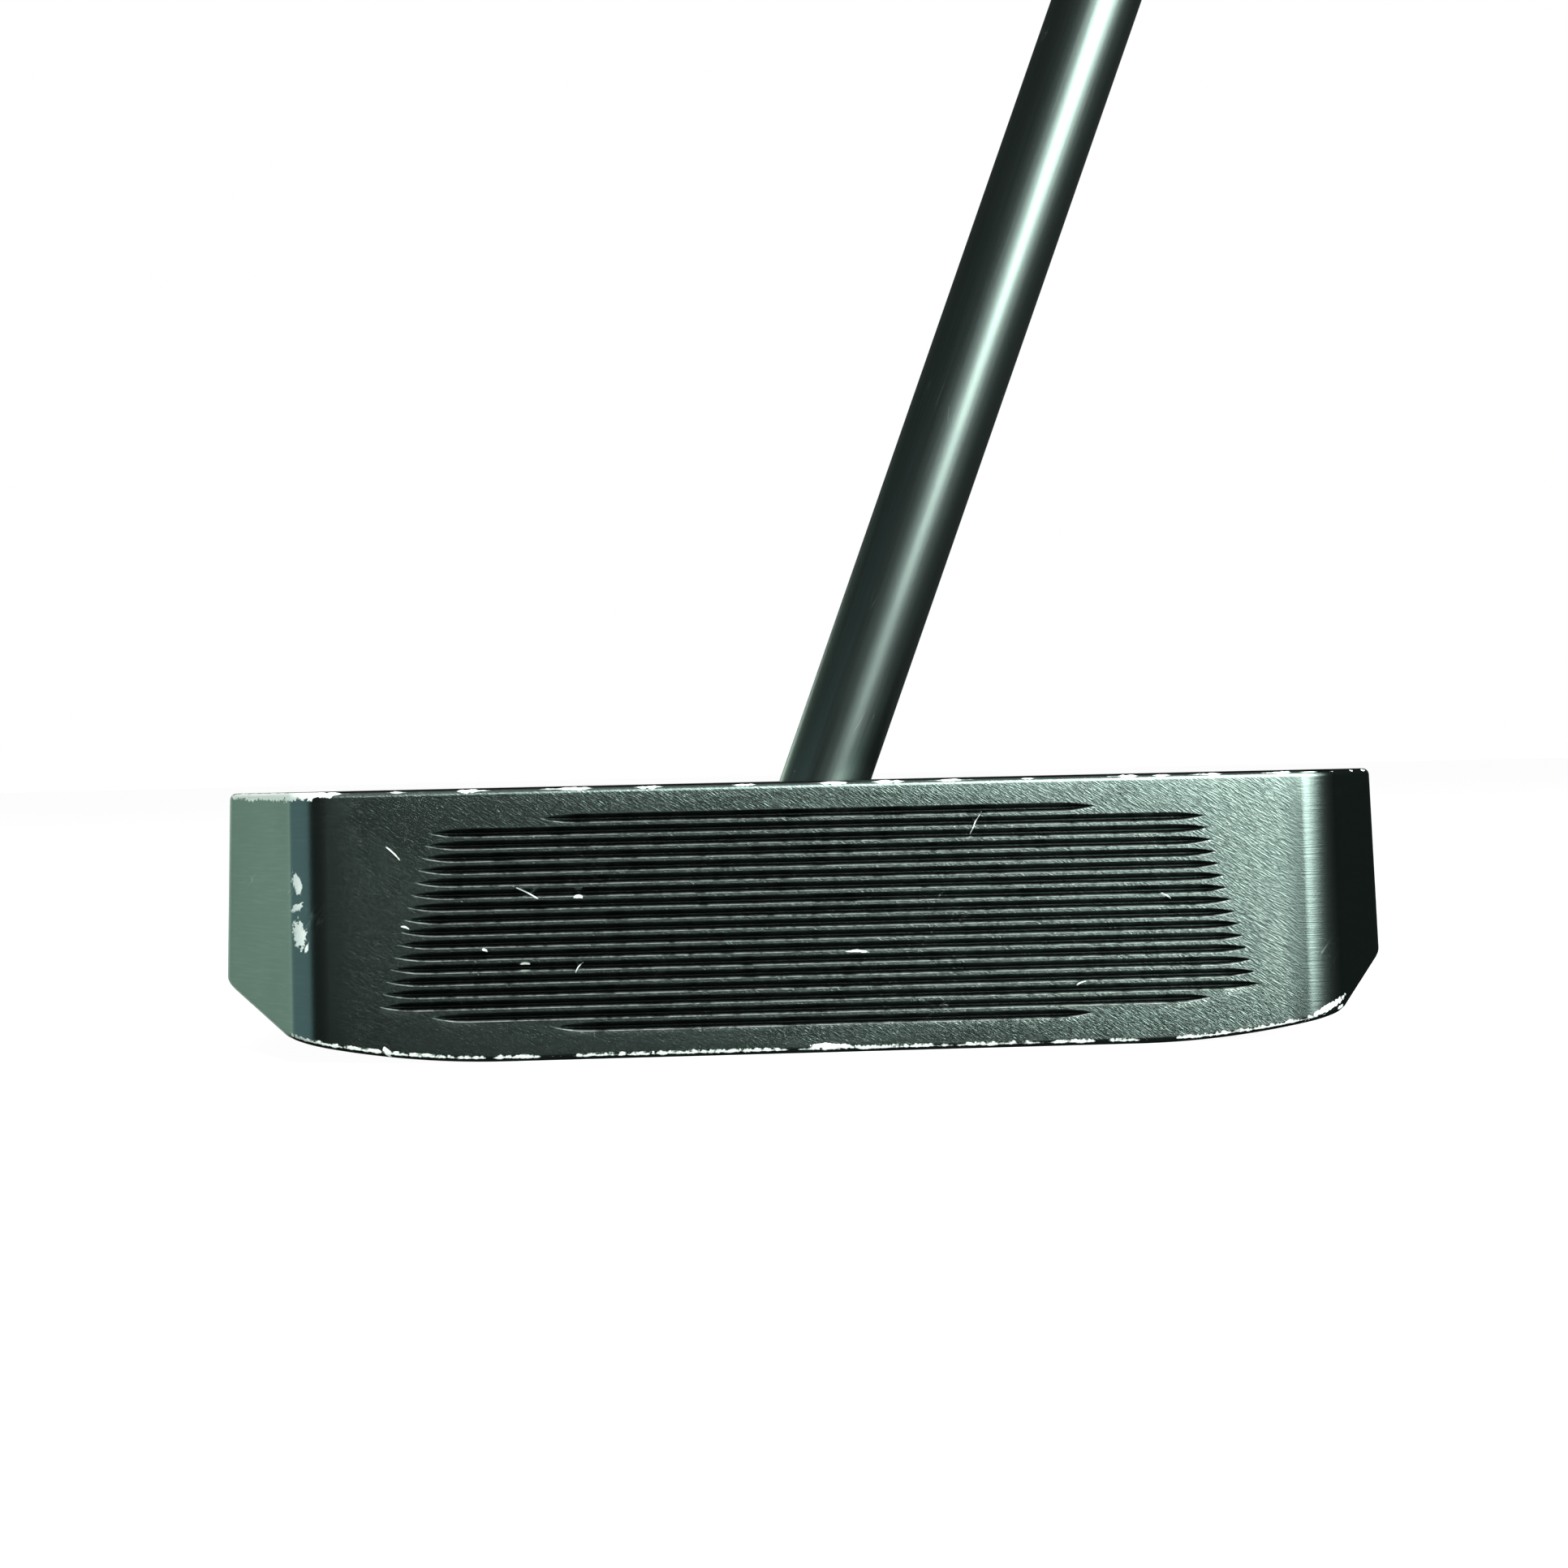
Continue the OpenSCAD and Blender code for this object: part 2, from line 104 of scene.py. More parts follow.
SWEEP = 30
floor_mesh = bpy.data.meshes.new("floor")
floor_mesh.from_pydata([(x, y, 0) for x, y in ((-SWEEP, -SWEEP), (SWEEP, -SWEEP), (SWEEP, SWEEP),
                                               (-SWEEP, SWEEP))], [], [(0, 1, 2, 3)])
floor_mesh.materials.append(paper)
floor = bpy.data.objects.new("floor", floor_mesh)
bpy.context.scene.collection.objects.link(floor)
floor.visible_glossy = False

bpy.context.scene.view_settings.view_transform = "Standard"
world = bpy.data.worlds.new("surround")
bpy.context.scene.world = world
world.use_nodes = True
room = world.node_tree
room.nodes.clear()
white = put(room, "Background", {"Color": (1, 1, 1, 1), "Strength": 1.0})
dim = put(room, "Background", {"Color": (0.78, 1.0, 0.92, 1), "Strength": 0.052})
seen = put(room, "LightPath")
both = put(room, "MixShader", {"Fac": seen.outputs["Is Camera Ray"], 1: dim.outputs["Background"],
                               2: white.outputs["Background"]})
put(room, "OutputWorld", {"Surface": both.outputs["Shader"]})


def softbox(name, azimuth, elevation, distance, width, height, radiance, tint, turn=0):
    """A square light that looks at the head. Azimuth 0 is in front of the face, 90 the heel."""
    a, e = math.radians(azimuth), math.radians(elevation)
    way = Vector((math.sin(a) * math.cos(e), -math.cos(a) * math.cos(e), math.sin(e)))
    light = bpy.data.lights.new(name, "AREA")
    light.shape = "RECTANGLE"
    light.size, light.size_y = width, height
    light.energy = radiance * math.pi * width * height
    light.color = tint
    lamp = bpy.data.objects.new(name, light)
    bpy.context.scene.collection.objects.link(lamp)
    lamp.location = Vector((0, head_low.y, head_high.z / 2)) + way * distance
    lamp.rotation_mode = "QUATERNION"
    upright = way.to_track_quat("Z", "Y")
    lamp.rotation_quaternion = upright @ Euler((0, 0, math.radians(turn))).to_quaternion()
    lamp.visible_camera = False


COOL_WHITE = (0.87, 1.0, 0.955)
softbox("front_softbox", 34, 33, 1.0, 0.80, 0.9, 12.0, COOL_WHITE, turn=22)
softbox("softbox_rim", 46, 33, 1.05, 1.35, 1.15, 2.7, COOL_WHITE, turn=22)
softbox("toe_card", -138, -2, 1.1, 1.0, 0.6, 2.4, (0.80, 1.0, 0.88))
softbox("toe_side_card", -83, 0, 1.1, 1.3, 0.6, 0.84, (0.58, 0.95, 1.0))
softbox("top_light", 0, 88, 1.3, 1.5, 1.5, 0.7, (1, 1, 1))

# ---- Head body -------------------------------------------------------------------
# One billet of aluminium, milled all over and anodised black. The face is lofted,
# its corners are rounded into flared side walls, the crown steps down through a
# curved ramp to a deck with two windows, and the sole rises towards heel and toe.
# Sizes are in millimetres.
MM = 0.001
HEAD_H = head_high.z / MM
TAIL_Y = head_high.y / MM
FACE_Y = -TAIL_Y
FACE_HALF = 54.05
HEAD_HALF = 64.6
SHOULDER_D = 20
SIDE_TAPER = 3.6
TAIL_TAPER_D = 30
TAIL_HALF = 38
OUTLINE_RADII = [5, 8, 24, 14]
LOFT = math.radians(3)
DRAFT = math.radians(2)
BAR_D = 24
RAMP_D = 9
DECK_H = 11.5
RAIL_W = 13.5
SPINE_HALF = 13.5
WINDOW_R = 5
SOLE_FLAT = 33
SOLE_R = 93.5
CHAMFER_X = 56
CHAMFER_SLOPE = math.tan(math.radians(29.4))


def smooth(t):
    """Eases from 0 to 1."""
    t = min(max(t, 0.0), 1.0)
    return t * t * (3 - 2 * t)


def sole_z(x):
    """Height of the sole above its flat at a distance x from the centre."""
    x = abs(x)
    reach = min(x, CHAMFER_X)
    arc = 0 if reach < SOLE_FLAT else SOLE_R - math.sqrt(SOLE_R ** 2 - (reach - SOLE_FLAT) ** 2)
    return arc + max(0, x - CHAMFER_X) * CHAMFER_SLOPE


def top_z(y):
    """Height of the crown, the ramp and the deck at a place y, face to tail."""
    t = min(max((y - FACE_Y - BAR_D) / RAMP_D, 0), 1)
    return DECK_H + (HEAD_H - DECK_H) * (1 + math.cos(math.pi * t)) / 2


def settle(x, y, z):
    """Leans a point of the upright head with the loft of the face and the draft of the sides."""
    back = z * math.tan(LOFT) * smooth(1 - (y - FACE_Y - 1) / 5.5)
    flare = (HEAD_HALF - FACE_HALF) / SHOULDER_D
    x += back * flare * x / FACE_HALF
    y += back
    x *= 1 - z * math.tan(DRAFT) / HEAD_HALF
    return Vector((x, y, z))


def rounded(corners, radii, spacing):
    """Closed outline, anticlockwise, with round corners: a list of (point, outward normal)."""
    ends = []
    count = len(corners)
    for i in range(count):
        a, b, c = (Vector(corners[(i + k) % count]) for k in (-1, 0, 1))
        u, v = (a - b).normalized(), (c - b).normalized()
        half = math.acos(max(-1, min(1, u.dot(v)))) / 2
        r = radii[i]
        centre = b + (u + v).normalized() * r / math.sin(half)
        start = (b + u * r / math.tan(half)) - centre
        finish = (b + v * r / math.tan(half)) - centre
        sweep = start.angle_signed(finish) * -1
        steps = max(4, int(abs(sweep) * r / 0.45))
        arc = []
        for k in range(steps + 1):
            turned = start.copy()
            turned.rotate(Matrix.Rotation(sweep * k / steps, 2))
            arc.append((centre + turned, turned.normalized() * math.copysign(1, sweep)))
        ends.append(arc)
    loop = []
    for i in range(count):
        loop += ends[i]
        here, there = ends[i][-1][0], ends[(i + 1) % count][0][0]
        normal = ends[i][-1][1]
        steps = max(1, round((there - here).length / spacing))
        loop += [(here.lerp(there, k / steps), normal) for k in range(1, steps)]
    return loop


class Shell:
    """Collects points in millimetres and faces, and makes one Blender mesh of them."""

    def __init__(self):
        self.points, self.faces, self.marks = [], [], []

    def add(self, point, mark=(9.0, 9.0, 0.0, 0.0)):
        self.points.append(Vector(point))
        self.marks.append(mark)
        return len(self.points) - 1

    def strip(self, low, high, closed=True, skip=()):
        """Quads between two rows of points of the same length."""
        count = len(low)
        for i in range(count if closed else count - 1):
            if i not in skip:
                j = (i + 1) % count
                self.faces.append((low[i], low[j], high[j], high[i]))

    def fill(self, outer, holes, inner, flat, lift, flip):
        """Triangles over an outline with holes, through the inner points too."""
        known = list(outer) + [i for hole in holes for i in hole]
        coords = [Vector(flat(self.points[i])) for i in known]
        loops, at = [], 0
        for ring in [outer] + list(holes):
            loops.append(list(range(at, at + len(ring))))
            at += len(ring)
        coords += [Vector(p) for p in inner]
        out, _, faces, origin, _, owner = delaunay_2d_cdt(coords, [], loops, 1, 1e-5)
        index = {}
        for k, p in enumerate(out):
            source = [o for o in origin[k] if o < len(known)]
            index[k] = known[source[0]] if source else None
        for face, own in zip(faces, owner):
            if own == [0]:
                for k in face:
                    if index[k] is None:
                        index[k] = self.add(*lift(out[k]))
                ring = [index[k] for k in face]
                self.faces.append(ring[::-1] if flip else ring)

    def build(self, name, sharp_angle=28):
        mesh = bpy.data.meshes.new(name)
        mesh.from_pydata([p * MM for p in self.points], [], self.faces)
        mesh.validate()
        mesh.polygons.foreach_set("use_smooth", [True] * len(mesh.polygons))
        mesh.set_sharp_from_angle(angle=math.radians(sharp_angle))
        piece = bpy.data.objects.new(name, mesh)
        bpy.context.scene.collection.objects.link(piece)
        return piece

    def mark(self, piece, names):
        """Stores the numbers kept with each point as named attributes."""
        for k, name in enumerate(names):
            layer = piece.data.attributes.new(name, "FLOAT", "POINT")
            layer.data.foreach_set("value", [m[k] for m in self.marks])


heel = [(FACE_HALF, FACE_Y), (HEAD_HALF, FACE_Y + SHOULDER_D),
        (HEAD_HALF - SIDE_TAPER, TAIL_Y - TAIL_TAPER_D), (TAIL_HALF, TAIL_Y)]
outline = rounded(heel + [(-x, y) for x, y in reversed(heel)],
                  OUTLINE_RADII + OUTLINE_RADII[::-1], 0.8)

side = Vector(heel[2]) - Vector(heel[1])
back = Vector(heel[3]) - Vector(heel[2])
side_in = Vector(heel[1]) + RAIL_W * Vector((-side.y, side.x)).normalized()
back_in = Vector(heel[3]) + RAIL_W * Vector((-back.y, back.x)).normalized()


def meet(p, u, q, v):
    """Where the line through p along u crosses the line through q along v."""
    w = q - p
    return p + u * (w.x * v.y - w.y * v.x) / (u.x * v.y - u.y * v.x)


across = Vector((1, 0))
window_y = FACE_Y + BAR_D + RAMP_D
window = [Vector((SPINE_HALF, window_y)),
          meet(side_in, side, Vector((0, window_y)), across),
          meet(side_in, side, back_in, back),
          meet(back_in, back, Vector((0, TAIL_Y - RAIL_W)), across),
          Vector((SPINE_HALF, TAIL_Y - RAIL_W))]
toe_window = [Vector((-p.x, p.y)) for p in reversed(window)]

head = Shell()
EDGE_R = 0.7
FILLET_STEPS = 4
WORN_ABOVE = 0.36        # the sole edge wears most just above the middle of its radius


def edge_radius_top(y):
    """Radius of the crown edge, which grows over the ramp to that of the deck edge."""
    return EDGE_R + 0.4 * smooth((y - FACE_Y - BAR_D) / RAMP_D)


def edge_radius_sole(y):
    """Radius of the sole edge, which grows into the relief under the tail."""
    return EDGE_R + 1.6 * smooth((y - TAIL_Y + 14) / 12)


def wall(loop, inward, r_top, r_sole, levels, skip=()):
    """Wall along an outline from sole to crown, its two long edges rounded."""
    rings = []
    for k in range(FILLET_STEPS + 1):
        a = math.pi / 2 * k / FILLET_STEPS
        ring = []
        for p, n in loop:
            r = r_sole(p.y)
            q = p + n * inward * r * (1 - math.sin(a))
            ring.append((q, sole_z(q.x) + r * (1 - math.cos(a)), r * (a - math.pi / 4)))
        rings.append(ring)
    foot = rings[-1]
    tops = []
    for k in range(FILLET_STEPS + 1):
        a = math.pi / 2 * k / FILLET_STEPS
        ring = []
        for p, n in loop:
            r = r_top(p.y)
            q = p + n * inward * r * (1 - math.cos(a))
            ring.append((q, top_z(q.y) - r * (1 - math.sin(a)), r * (math.pi / 4 - a)))
        tops.append(ring)
    for k in range(1, levels):
        rings.append([(f[0], f[1] + (t[1] - f[1]) * k / levels, None) for f, t in zip(foot, tops[0])])
    made = []
    for ring in rings + tops:
        row = []
        for i, (q, z, along) in enumerate(ring):
            low = max(0, z - foot[i][1]) + r_sole(q.y) * math.pi / 4 - WORN_ABOVE
            high = max(0, tops[0][i][1] - z) + r_top(q.y) * math.pi / 4
            if ring in rings[:FILLET_STEPS + 1]:
                low = abs(along - WORN_ABOVE)
            if ring in tops:
                high = abs(along)
            row.append(head.add(settle(q.x, q.y, z), (low, high, 0.0, 0.0)))
        made.append(row)
    for k in range(len(made) - 1):
        hidden = skip if FILLET_STEPS <= k < FILLET_STEPS + levels else ()
        if inward < 0:
            head.strip(made[k], made[k + 1], skip=hidden)
        else:
            head.strip(made[k + 1], made[k], skip=hidden)
    return made


face_line = [i for i, (p, n) in enumerate(outline)
             if n.y < -0.9999 and outline[(i + 1) % len(outline)][1].y < -0.9999]
LEVELS = 7
outer = wall(outline, -1, edge_radius_top, edge_radius_sole, LEVELS, skip=face_line)
WINDOW_EDGE_TOP, WINDOW_EDGE_SOLE = 0.9, 0.6
windows = [wall(rounded(w, [WINDOW_R] * 5, 1.0), 1, lambda y: WINDOW_EDGE_TOP,
                lambda y: WINDOW_EDGE_SOLE, 3) for w in (window, toe_window)]

# ---- Face grooves ----------------------------------------------------------------
# Eighteen V grooves milled across the face with one small cutter, row by row. The
# cutter lifts out at each end, which leaves a pointed run-out.
GROOVE_ROWS = 18
GROOVE_PITCH = 1.27
GROOVE_TOP = 25.0
GROOVE_HALF_W = 0.5
GROOVE_DEPTH = 0.42
GROOVE_RUNOUT = 3.9
GROOVE_LIP = 0.075
FIRST_HALF, SECOND_HALF, SPREAD, LAST_HALF = 29.1, 40.7, 0.38, 28.3


def groove_half(row):
    """Half the length of a groove. The rows spread evenly but for the first and the last two."""
    if row == 0:
        return FIRST_HALF
    if row == GROOVE_ROWS - 1:
        return LAST_HALF
    if row == GROOVE_ROWS - 2:
        return SECOND_HALF
    return SECOND_HALF + (row - 1) * SPREAD


def on_face(x, z, depth):
    """A point behind the face plane, at a height z, sunk square to the face."""
    return (x, FACE_Y + z * math.tan(LOFT) + depth * math.cos(LOFT), z - depth * math.sin(LOFT))


def face_mark(x, z, groove_shade_depth=0.0, lip=0.0):
    """Distances along the face from its two worn edges, how deep it is sunk, and if it is a lip."""
    from_edge = EDGE_R * (1 - math.pi / 4)
    return (z - sole_z(x) - from_edge - WORN_ABOVE, HEAD_H - z - from_edge, groove_shade_depth, lip)


def groove(row):
    """One groove: rows of six points across it, from point to point. Returns its rim."""
    half = groove_half(row)
    z0 = GROOVE_TOP - row * GROOVE_PITCH
    runout = [GROOVE_RUNOUT * t for t in (0.06, 0.16, 0.3, 0.48, 0.7, 1.0)]
    stations = [-half + s for s in runout] + [half - s for s in reversed(runout)]
    tip = 0.14 * GROOVE_HALF_W
    rows = []
    for x in stations:
        full = min(1.0, (half - abs(x)) / GROOVE_RUNOUT)
        open_by = 1 - (1 - full) ** 2.1
        high = tip + (GROOVE_HALF_W - tip) * open_by
        low = tip - (GROOVE_HALF_W + tip) * open_by
        root = (high + low) / 2 - 0.05 * open_by
        lip = GROOVE_LIP * open_by
        deep = GROOVE_DEPTH * open_by
        section = [(high, 0), (high - lip, lip * 0.9), (root + 0.07 * open_by, deep),
                   (root - 0.07 * open_by, deep), (low + lip * 1.3, lip * 0.9), (low, 0)]
        rows.append([head.add(on_face(x, z0 + v, d), face_mark(x, z0 + v, d, (0, 0, 0, 0, 1, 0.6)[k]))
                     for k, (v, d) in enumerate(section)])
    ends = [head.add(on_face(s * half, z0 + tip, 0), face_mark(half, z0)) for s in (-1, 1)]
    for a, b in zip(rows, rows[1:]):
        for k in range(5):
            head.faces.append((a[k], a[k + 1], b[k + 1], b[k]))
    for k in range(5):
        head.faces.append((ends[0], rows[0][k + 1], rows[0][k]))
        head.faces.append((ends[1], rows[-1][k], rows[-1][k + 1]))
    low_rim = [row[5] for row in rows]
    high_rim = [row[0] for row in rows]
    return [ends[0]] + low_rim + [ends[1]] + high_rim[::-1]


grooves = [groove(row) for row in range(GROOVE_ROWS)]

# the flat of the face, between its four edges and around the grooves
first, last = face_line[0], face_line[-1] + 1
count = len(outline)
base_row, crown_row = FILLET_STEPS, FILLET_STEPS + LEVELS
bottom = [outer[base_row][i % count] for i in range(first, last + 1)]
right = [outer[k][last % count] for k in range(base_row + 1, crown_row)]
top = [outer[crown_row][i % count] for i in range(last, first - 1, -1)]
left = [outer[k][first % count] for k in range(crown_row - 1, base_row, -1)]
head.fill(bottom + right + top + left, grooves, [], lambda p: (p.x, p.z), None, False)

# ---- Head pockets, crown and sole ------------------------------------------------
# Pockets milled down from above for the shaft block and for the sight line's paint, and
# bores from below for the weights and the block screws, all with broken edges.


def sink(rim, rings, downward):
    """A pocket or a bore: walls from its rim through deeper rings to a flat floor."""
    rows = [rim] + [[head.add(p) for p in ring] for ring in rings]
    for a, b in zip(rows, rows[1:]):
        if downward:
            head.strip(a, b)
        else:
            head.strip(b, a)
    head.faces.append(rows[-1] if downward else rows[-1][::-1])


def deck_pocket(loop, floor_z, round_over):
    """A pocket milled straight down from the crown or the deck, with a broken edge."""
    rings = []
    for k in range(3):
        a = math.pi / 4 * k
        ring = []
        for p, n in loop:
            q = p + n * round_over * (1 - math.sin(a))
            ring.append(Vector((q.x, q.y, top_z(q.y) - round_over * (1 - math.cos(a)))))
        rings.append(ring)
    rings.append([Vector((p.x, p.y, floor_z)) for p, n in loop])
    rim = [head.add(p) for p in rings[0]]
    sink(rim, rings[1:], True)
    return rim


def round_plan(low, high, radius, spacing):
    """Rounded rectangle seen from above, anticlockwise."""
    corners = [(high.x, low.y), (high.x, high.y), (low.x, high.y), (low.x, low.y)]
    return rounded(corners, [radius] * 4, spacing)


BLOCK_R, BLOCK_GAP, SIGHT_R = 3.0, 0.06, 0.3
block_low, block_high = (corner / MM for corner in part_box("shaft_block"))
gap = Vector((BLOCK_GAP, BLOCK_GAP, 0))
block_plan = round_plan(block_low - gap, block_high + gap, BLOCK_R, 1.0)
block_pocket = deck_pocket(block_plan, block_low.z, 0.14)
line_low, line_high = (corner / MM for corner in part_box("sight_line"))
sight_channel = deck_pocket(round_plan(line_low, line_high, SIGHT_R, 1.5), line_low.z, 0.1)


def sole_bore(centre, tilt, radius, depth, sides=40):
    """A round bore from the sole up into the metal, square to the sole, with a chamfer."""
    stand = Matrix.Translation(centre) @ Matrix.Rotation(tilt, 4, "Y")
    chamfer = 0.25
    rings = []
    for r, z in ((radius + chamfer, 0), (radius, chamfer), (radius, depth)):
        ring = []
        for k in range(sides):
            a = 2 * math.pi * k / sides
            p = stand @ Vector((r * math.cos(a), r * math.sin(a), z))
            ring.append(Vector((p.x, p.y, sole_z(p.x))) if z == 0 else p)
        rings.append(ring)
    rim = [head.add(p) for p in rings[0]]
    sink(rim, rings[1:], False)
    return rim


WEIGHTS = [f"{side}_{place}_weight" for side in ("toe", "heel")
           for place in ("front", "inner", "rear", "tail")]
WEIGHT_D, WEIGHT_T, WEIGHT_SUNK, THREAD_GAP = 8.0, 5.0, 0.4, 0.06
weight_frames = {}
bores = []
for name in WEIGHTS:
    low, high = (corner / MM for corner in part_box(name))
    middle = (low + high) / 2
    tilt = -math.copysign(math.asin(max(0, abs(middle.x) - SOLE_FLAT) / SOLE_R), middle.x)
    axis = Vector((math.sin(tilt), 0, math.cos(tilt)))
    centre = middle - axis * (WEIGHT_SUNK + WEIGHT_T / 2)
    weight_frames[name] = Matrix.Translation(centre) @ Matrix.Rotation(tilt, 4, "Y")
    bores.append(sole_bore(centre, tilt, WEIGHT_D / 2 + THREAD_GAP, WEIGHT_SUNK + WEIGHT_T))
SCREW_HEAD_R, SCREW_HEAD_H, SCREW_SUNK = 3.5, 2.2, 0.5
screw_low, screw_high = (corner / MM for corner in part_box("block_screws"))
screw_x = (screw_low.x + screw_high.x) / 2
for y in (screw_low.y + SCREW_HEAD_R, screw_high.y - SCREW_HEAD_R):
    bores.append(sole_bore(Vector((screw_x, y, 0)), 0, SCREW_HEAD_R + 0.2, SCREW_SUNK + SCREW_HEAD_H))


def inside(x, y, ring, margin):
    """Whether a place lies inside a ring of points, and at least a margin away from it."""
    hit = False
    for a, b in zip(ring, ring[1:] + ring[:1]):
        if (a.y > y) != (b.y > y) and x < a.x + (y - a.y) * (b.x - a.x) / (b.y - a.y):
            hit = not hit
        if (a.x - x) ** 2 + (a.y - y) ** 2 < margin ** 2:
            return None
    return hit


def grid_points(xs, ys, edge, holes, margin):
    """Places on a grid that lie inside the edge, outside the holes and clear of both."""
    rings = [[head.points[i] for i in ring] for ring in [edge] + holes]
    found = []
    for x in xs:
        for y in ys:
            hits = [inside(x, y, ring, margin) for ring in rings]
            if hits[0] and not any(hit or hit is None for hit in hits[1:]):
                found.append((x, y))
    return found


top_holes = [windows[0][-1], windows[1][-1], block_pocket, sight_channel]
top_xs = [3.1 * k for k in range(-21, 22)]
ramp_end = FACE_Y + BAR_D + RAMP_D
top_ys = [FACE_Y + 3 + 3.5 * k for k in range(6)] + [ramp_end - RAMP_D + 0.6 * k for k in range(16)]
top_ys += [ramp_end + 4 * k for k in range(1, 14)]
head.fill(outer[-1], top_holes, grid_points(top_xs, top_ys, outer[-1], top_holes, 0.5),
          lambda p: (p.x, p.y), lambda p: ((p.x, p.y, top_z(p.y)),), False)
sole_holes = [windows[0][0], windows[1][0]] + bores
sole_xs = [side * x for side in (-1, 1) for x in [4.0 * k + 2 for k in range(8)] +
           [SOLE_FLAT + 1.5 * k for k in range(22)]]
sole_ys = [FACE_Y + 2 + 4.2 * k for k in range(21)]
head.fill(outer[0], sole_holes, grid_points(sole_xs, sole_ys, outer[0], sole_holes, 0.7),
          lambda p: (p.x, p.y), lambda p: ((p.x, p.y, sole_z(p.x)),), True)

head_piece = head.build("head_body_milled", 30)
head.mark(head_piece, ("sole_edge", "crown_edge", "groove_depth", "groove_lip"))
lie_flat = head_piece.modifiers.new("even_shading", "WEIGHTED_NORMAL")
lie_flat.keep_sharp = True
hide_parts("head_body")

# ---- Head finish -----------------------------------------------------------------
# Black anodising over fine cutter marks. It has worn through to bare aluminium along
# the sole edge of the face and at the toe end of the crown edge, with nicks and
# hairlines from the bag and the ball.


def calc(tree, operation, *values, clamp=False):
    """Puts a Math node in a tree and returns its result."""
    return put(tree, "Math", dict(enumerate(values)), operation=operation, use_clamp=clamp).outputs[0]


def times(tree, first, second):
    return calc(tree, "MULTIPLY", first, second)


def scaled(tree, value, factor, offset):
    """A value times a factor, plus an offset."""
    return calc(tree, "MULTIPLY_ADD", value, factor, offset)


def between(tree, value, low, high, at_low=0.0, at_high=1.0):
    """Runs smoothly from one value to another while an input passes from low to high."""
    return put(tree, "MapRange", {"Value": value, "From Min": low, "From Max": high, "To Min": at_low,
                                  "To Max": at_high}, interpolation_type="SMOOTHSTEP").outputs["Result"]


def effect(name, inputs):
    """Starts a shader node group with one result. Every input is a number with a default."""
    tree = bpy.data.node_groups.new(name, "ShaderNodeTree")
    for label, value in inputs.items():
        socket = tree.interface.new_socket(label, in_out="INPUT", socket_type="NodeSocketFloat")
        socket.default_value = value
    tree.interface.new_socket("Result", in_out="OUTPUT", socket_type="NodeSocketFloat")
    given = tree.nodes.new("NodeGroupInput").outputs
    return tree, given, tree.nodes.new("NodeGroupOutput").inputs["Result"]


def apply_effect(tree, group, values):
    """Places an effect in a material with its own values and returns its result."""
    node = tree.nodes.new("ShaderNodeGroup")
    node.node_tree = group
    feed(tree, node, values)
    return node.outputs["Result"]


def millimetres(tree):
    """The place on the piece in millimetres."""
    place = put(tree, "TexCoord").outputs["Object"]
    return put(tree, "VectorMath", {0: place, "Scale": 1000.0}, operation="SCALE").outputs[0]


def noise(tree, place, scale, detail=2.0, roughness=0.5):
    return put(tree, "TexNoise", {"Vector": place, "Scale": scale, "Detail": detail,
                                  "Roughness": roughness}).outputs["Fac"]


def kept_number(tree, name):
    """A number stored with the points of the mesh."""
    return put(tree, "Attribute", attribute_name=name).outputs["Fac"]


# short slanting strokes of a cutter, about as long and as wide as given
cutter_marks, given, result = effect("cutter_marks", {"Slant": 0.0, "Length": 1.4, "Width": 0.2})
turned = put(cutter_marks, "VectorRotate", {"Vector": millimetres(cutter_marks),
                                            "Angle": times(cutter_marks, given["Slant"], -1.0)},
             rotation_type="Y_AXIS")
stroke = put(cutter_marks, "CombineXYZ", {"X": given["Length"], "Y": given["Length"],
                                          "Z": given["Width"]})
spread = put(cutter_marks, "VectorMath", {0: turned.outputs[0], 1: stroke.outputs[0]},
             operation="DIVIDE")
cutter_marks.links.new(noise(cutter_marks, spread.outputs[0], 1.0, 2.0, 0.6), result)

# bare metal within a ragged distance of an edge, in patches
edge_wear, given, result = effect("edge_wear", {"Distance": 9.0, "Reach": 0.3, "Amount": 0.5})
place = millimetres(edge_wear)
patch = between(edge_wear, noise(edge_wear, place, 0.21, 2.0),
                scaled(edge_wear, given["Amount"], -0.5, 0.70),
                scaled(edge_wear, given["Amount"], -0.5, 0.84))
ragged = scaled(edge_wear, noise(edge_wear, place, 1.5, 4.0, 0.65), 2.6, -0.55)
reach = times(edge_wear, times(edge_wear, patch, ragged), given["Reach"])
past = calc(edge_wear, "DIVIDE", calc(edge_wear, "SUBTRACT", reach, given["Distance"]), 0.07)
edge_wear.links.new(calc(edge_wear, "ADD", past, 0.0, clamp=True), result)

# long thin scratches that come and go
hairlines, given, result = effect("hairlines", {"Slant": 0.6, "Amount": 0.5})
turned = put(hairlines, "VectorRotate", {"Vector": millimetres(hairlines), "Angle": given["Slant"]},
             rotation_type="Y_AXIS")
drawn = put(hairlines, "VectorMath", {0: turned.outputs[0], 1: (0.045, 0.045, 0.9)}, operation="MULTIPLY")
off = calc(hairlines, "ABSOLUTE", calc(hairlines, "SUBTRACT",
                                       noise(hairlines, drawn.outputs[0], 1.0, 1.0), 0.5))
line = between(hairlines, off, 0.0, 0.008, 1.0, 0.0)
cut = scaled(hairlines, given["Amount"], -0.3, 0.72)
there = between(hairlines, noise(hairlines, millimetres(hairlines), 0.13, 3.0), cut,
                calc(hairlines, "ADD", cut, 0.08))
hairlines.links.new(times(hairlines, line, there), result)

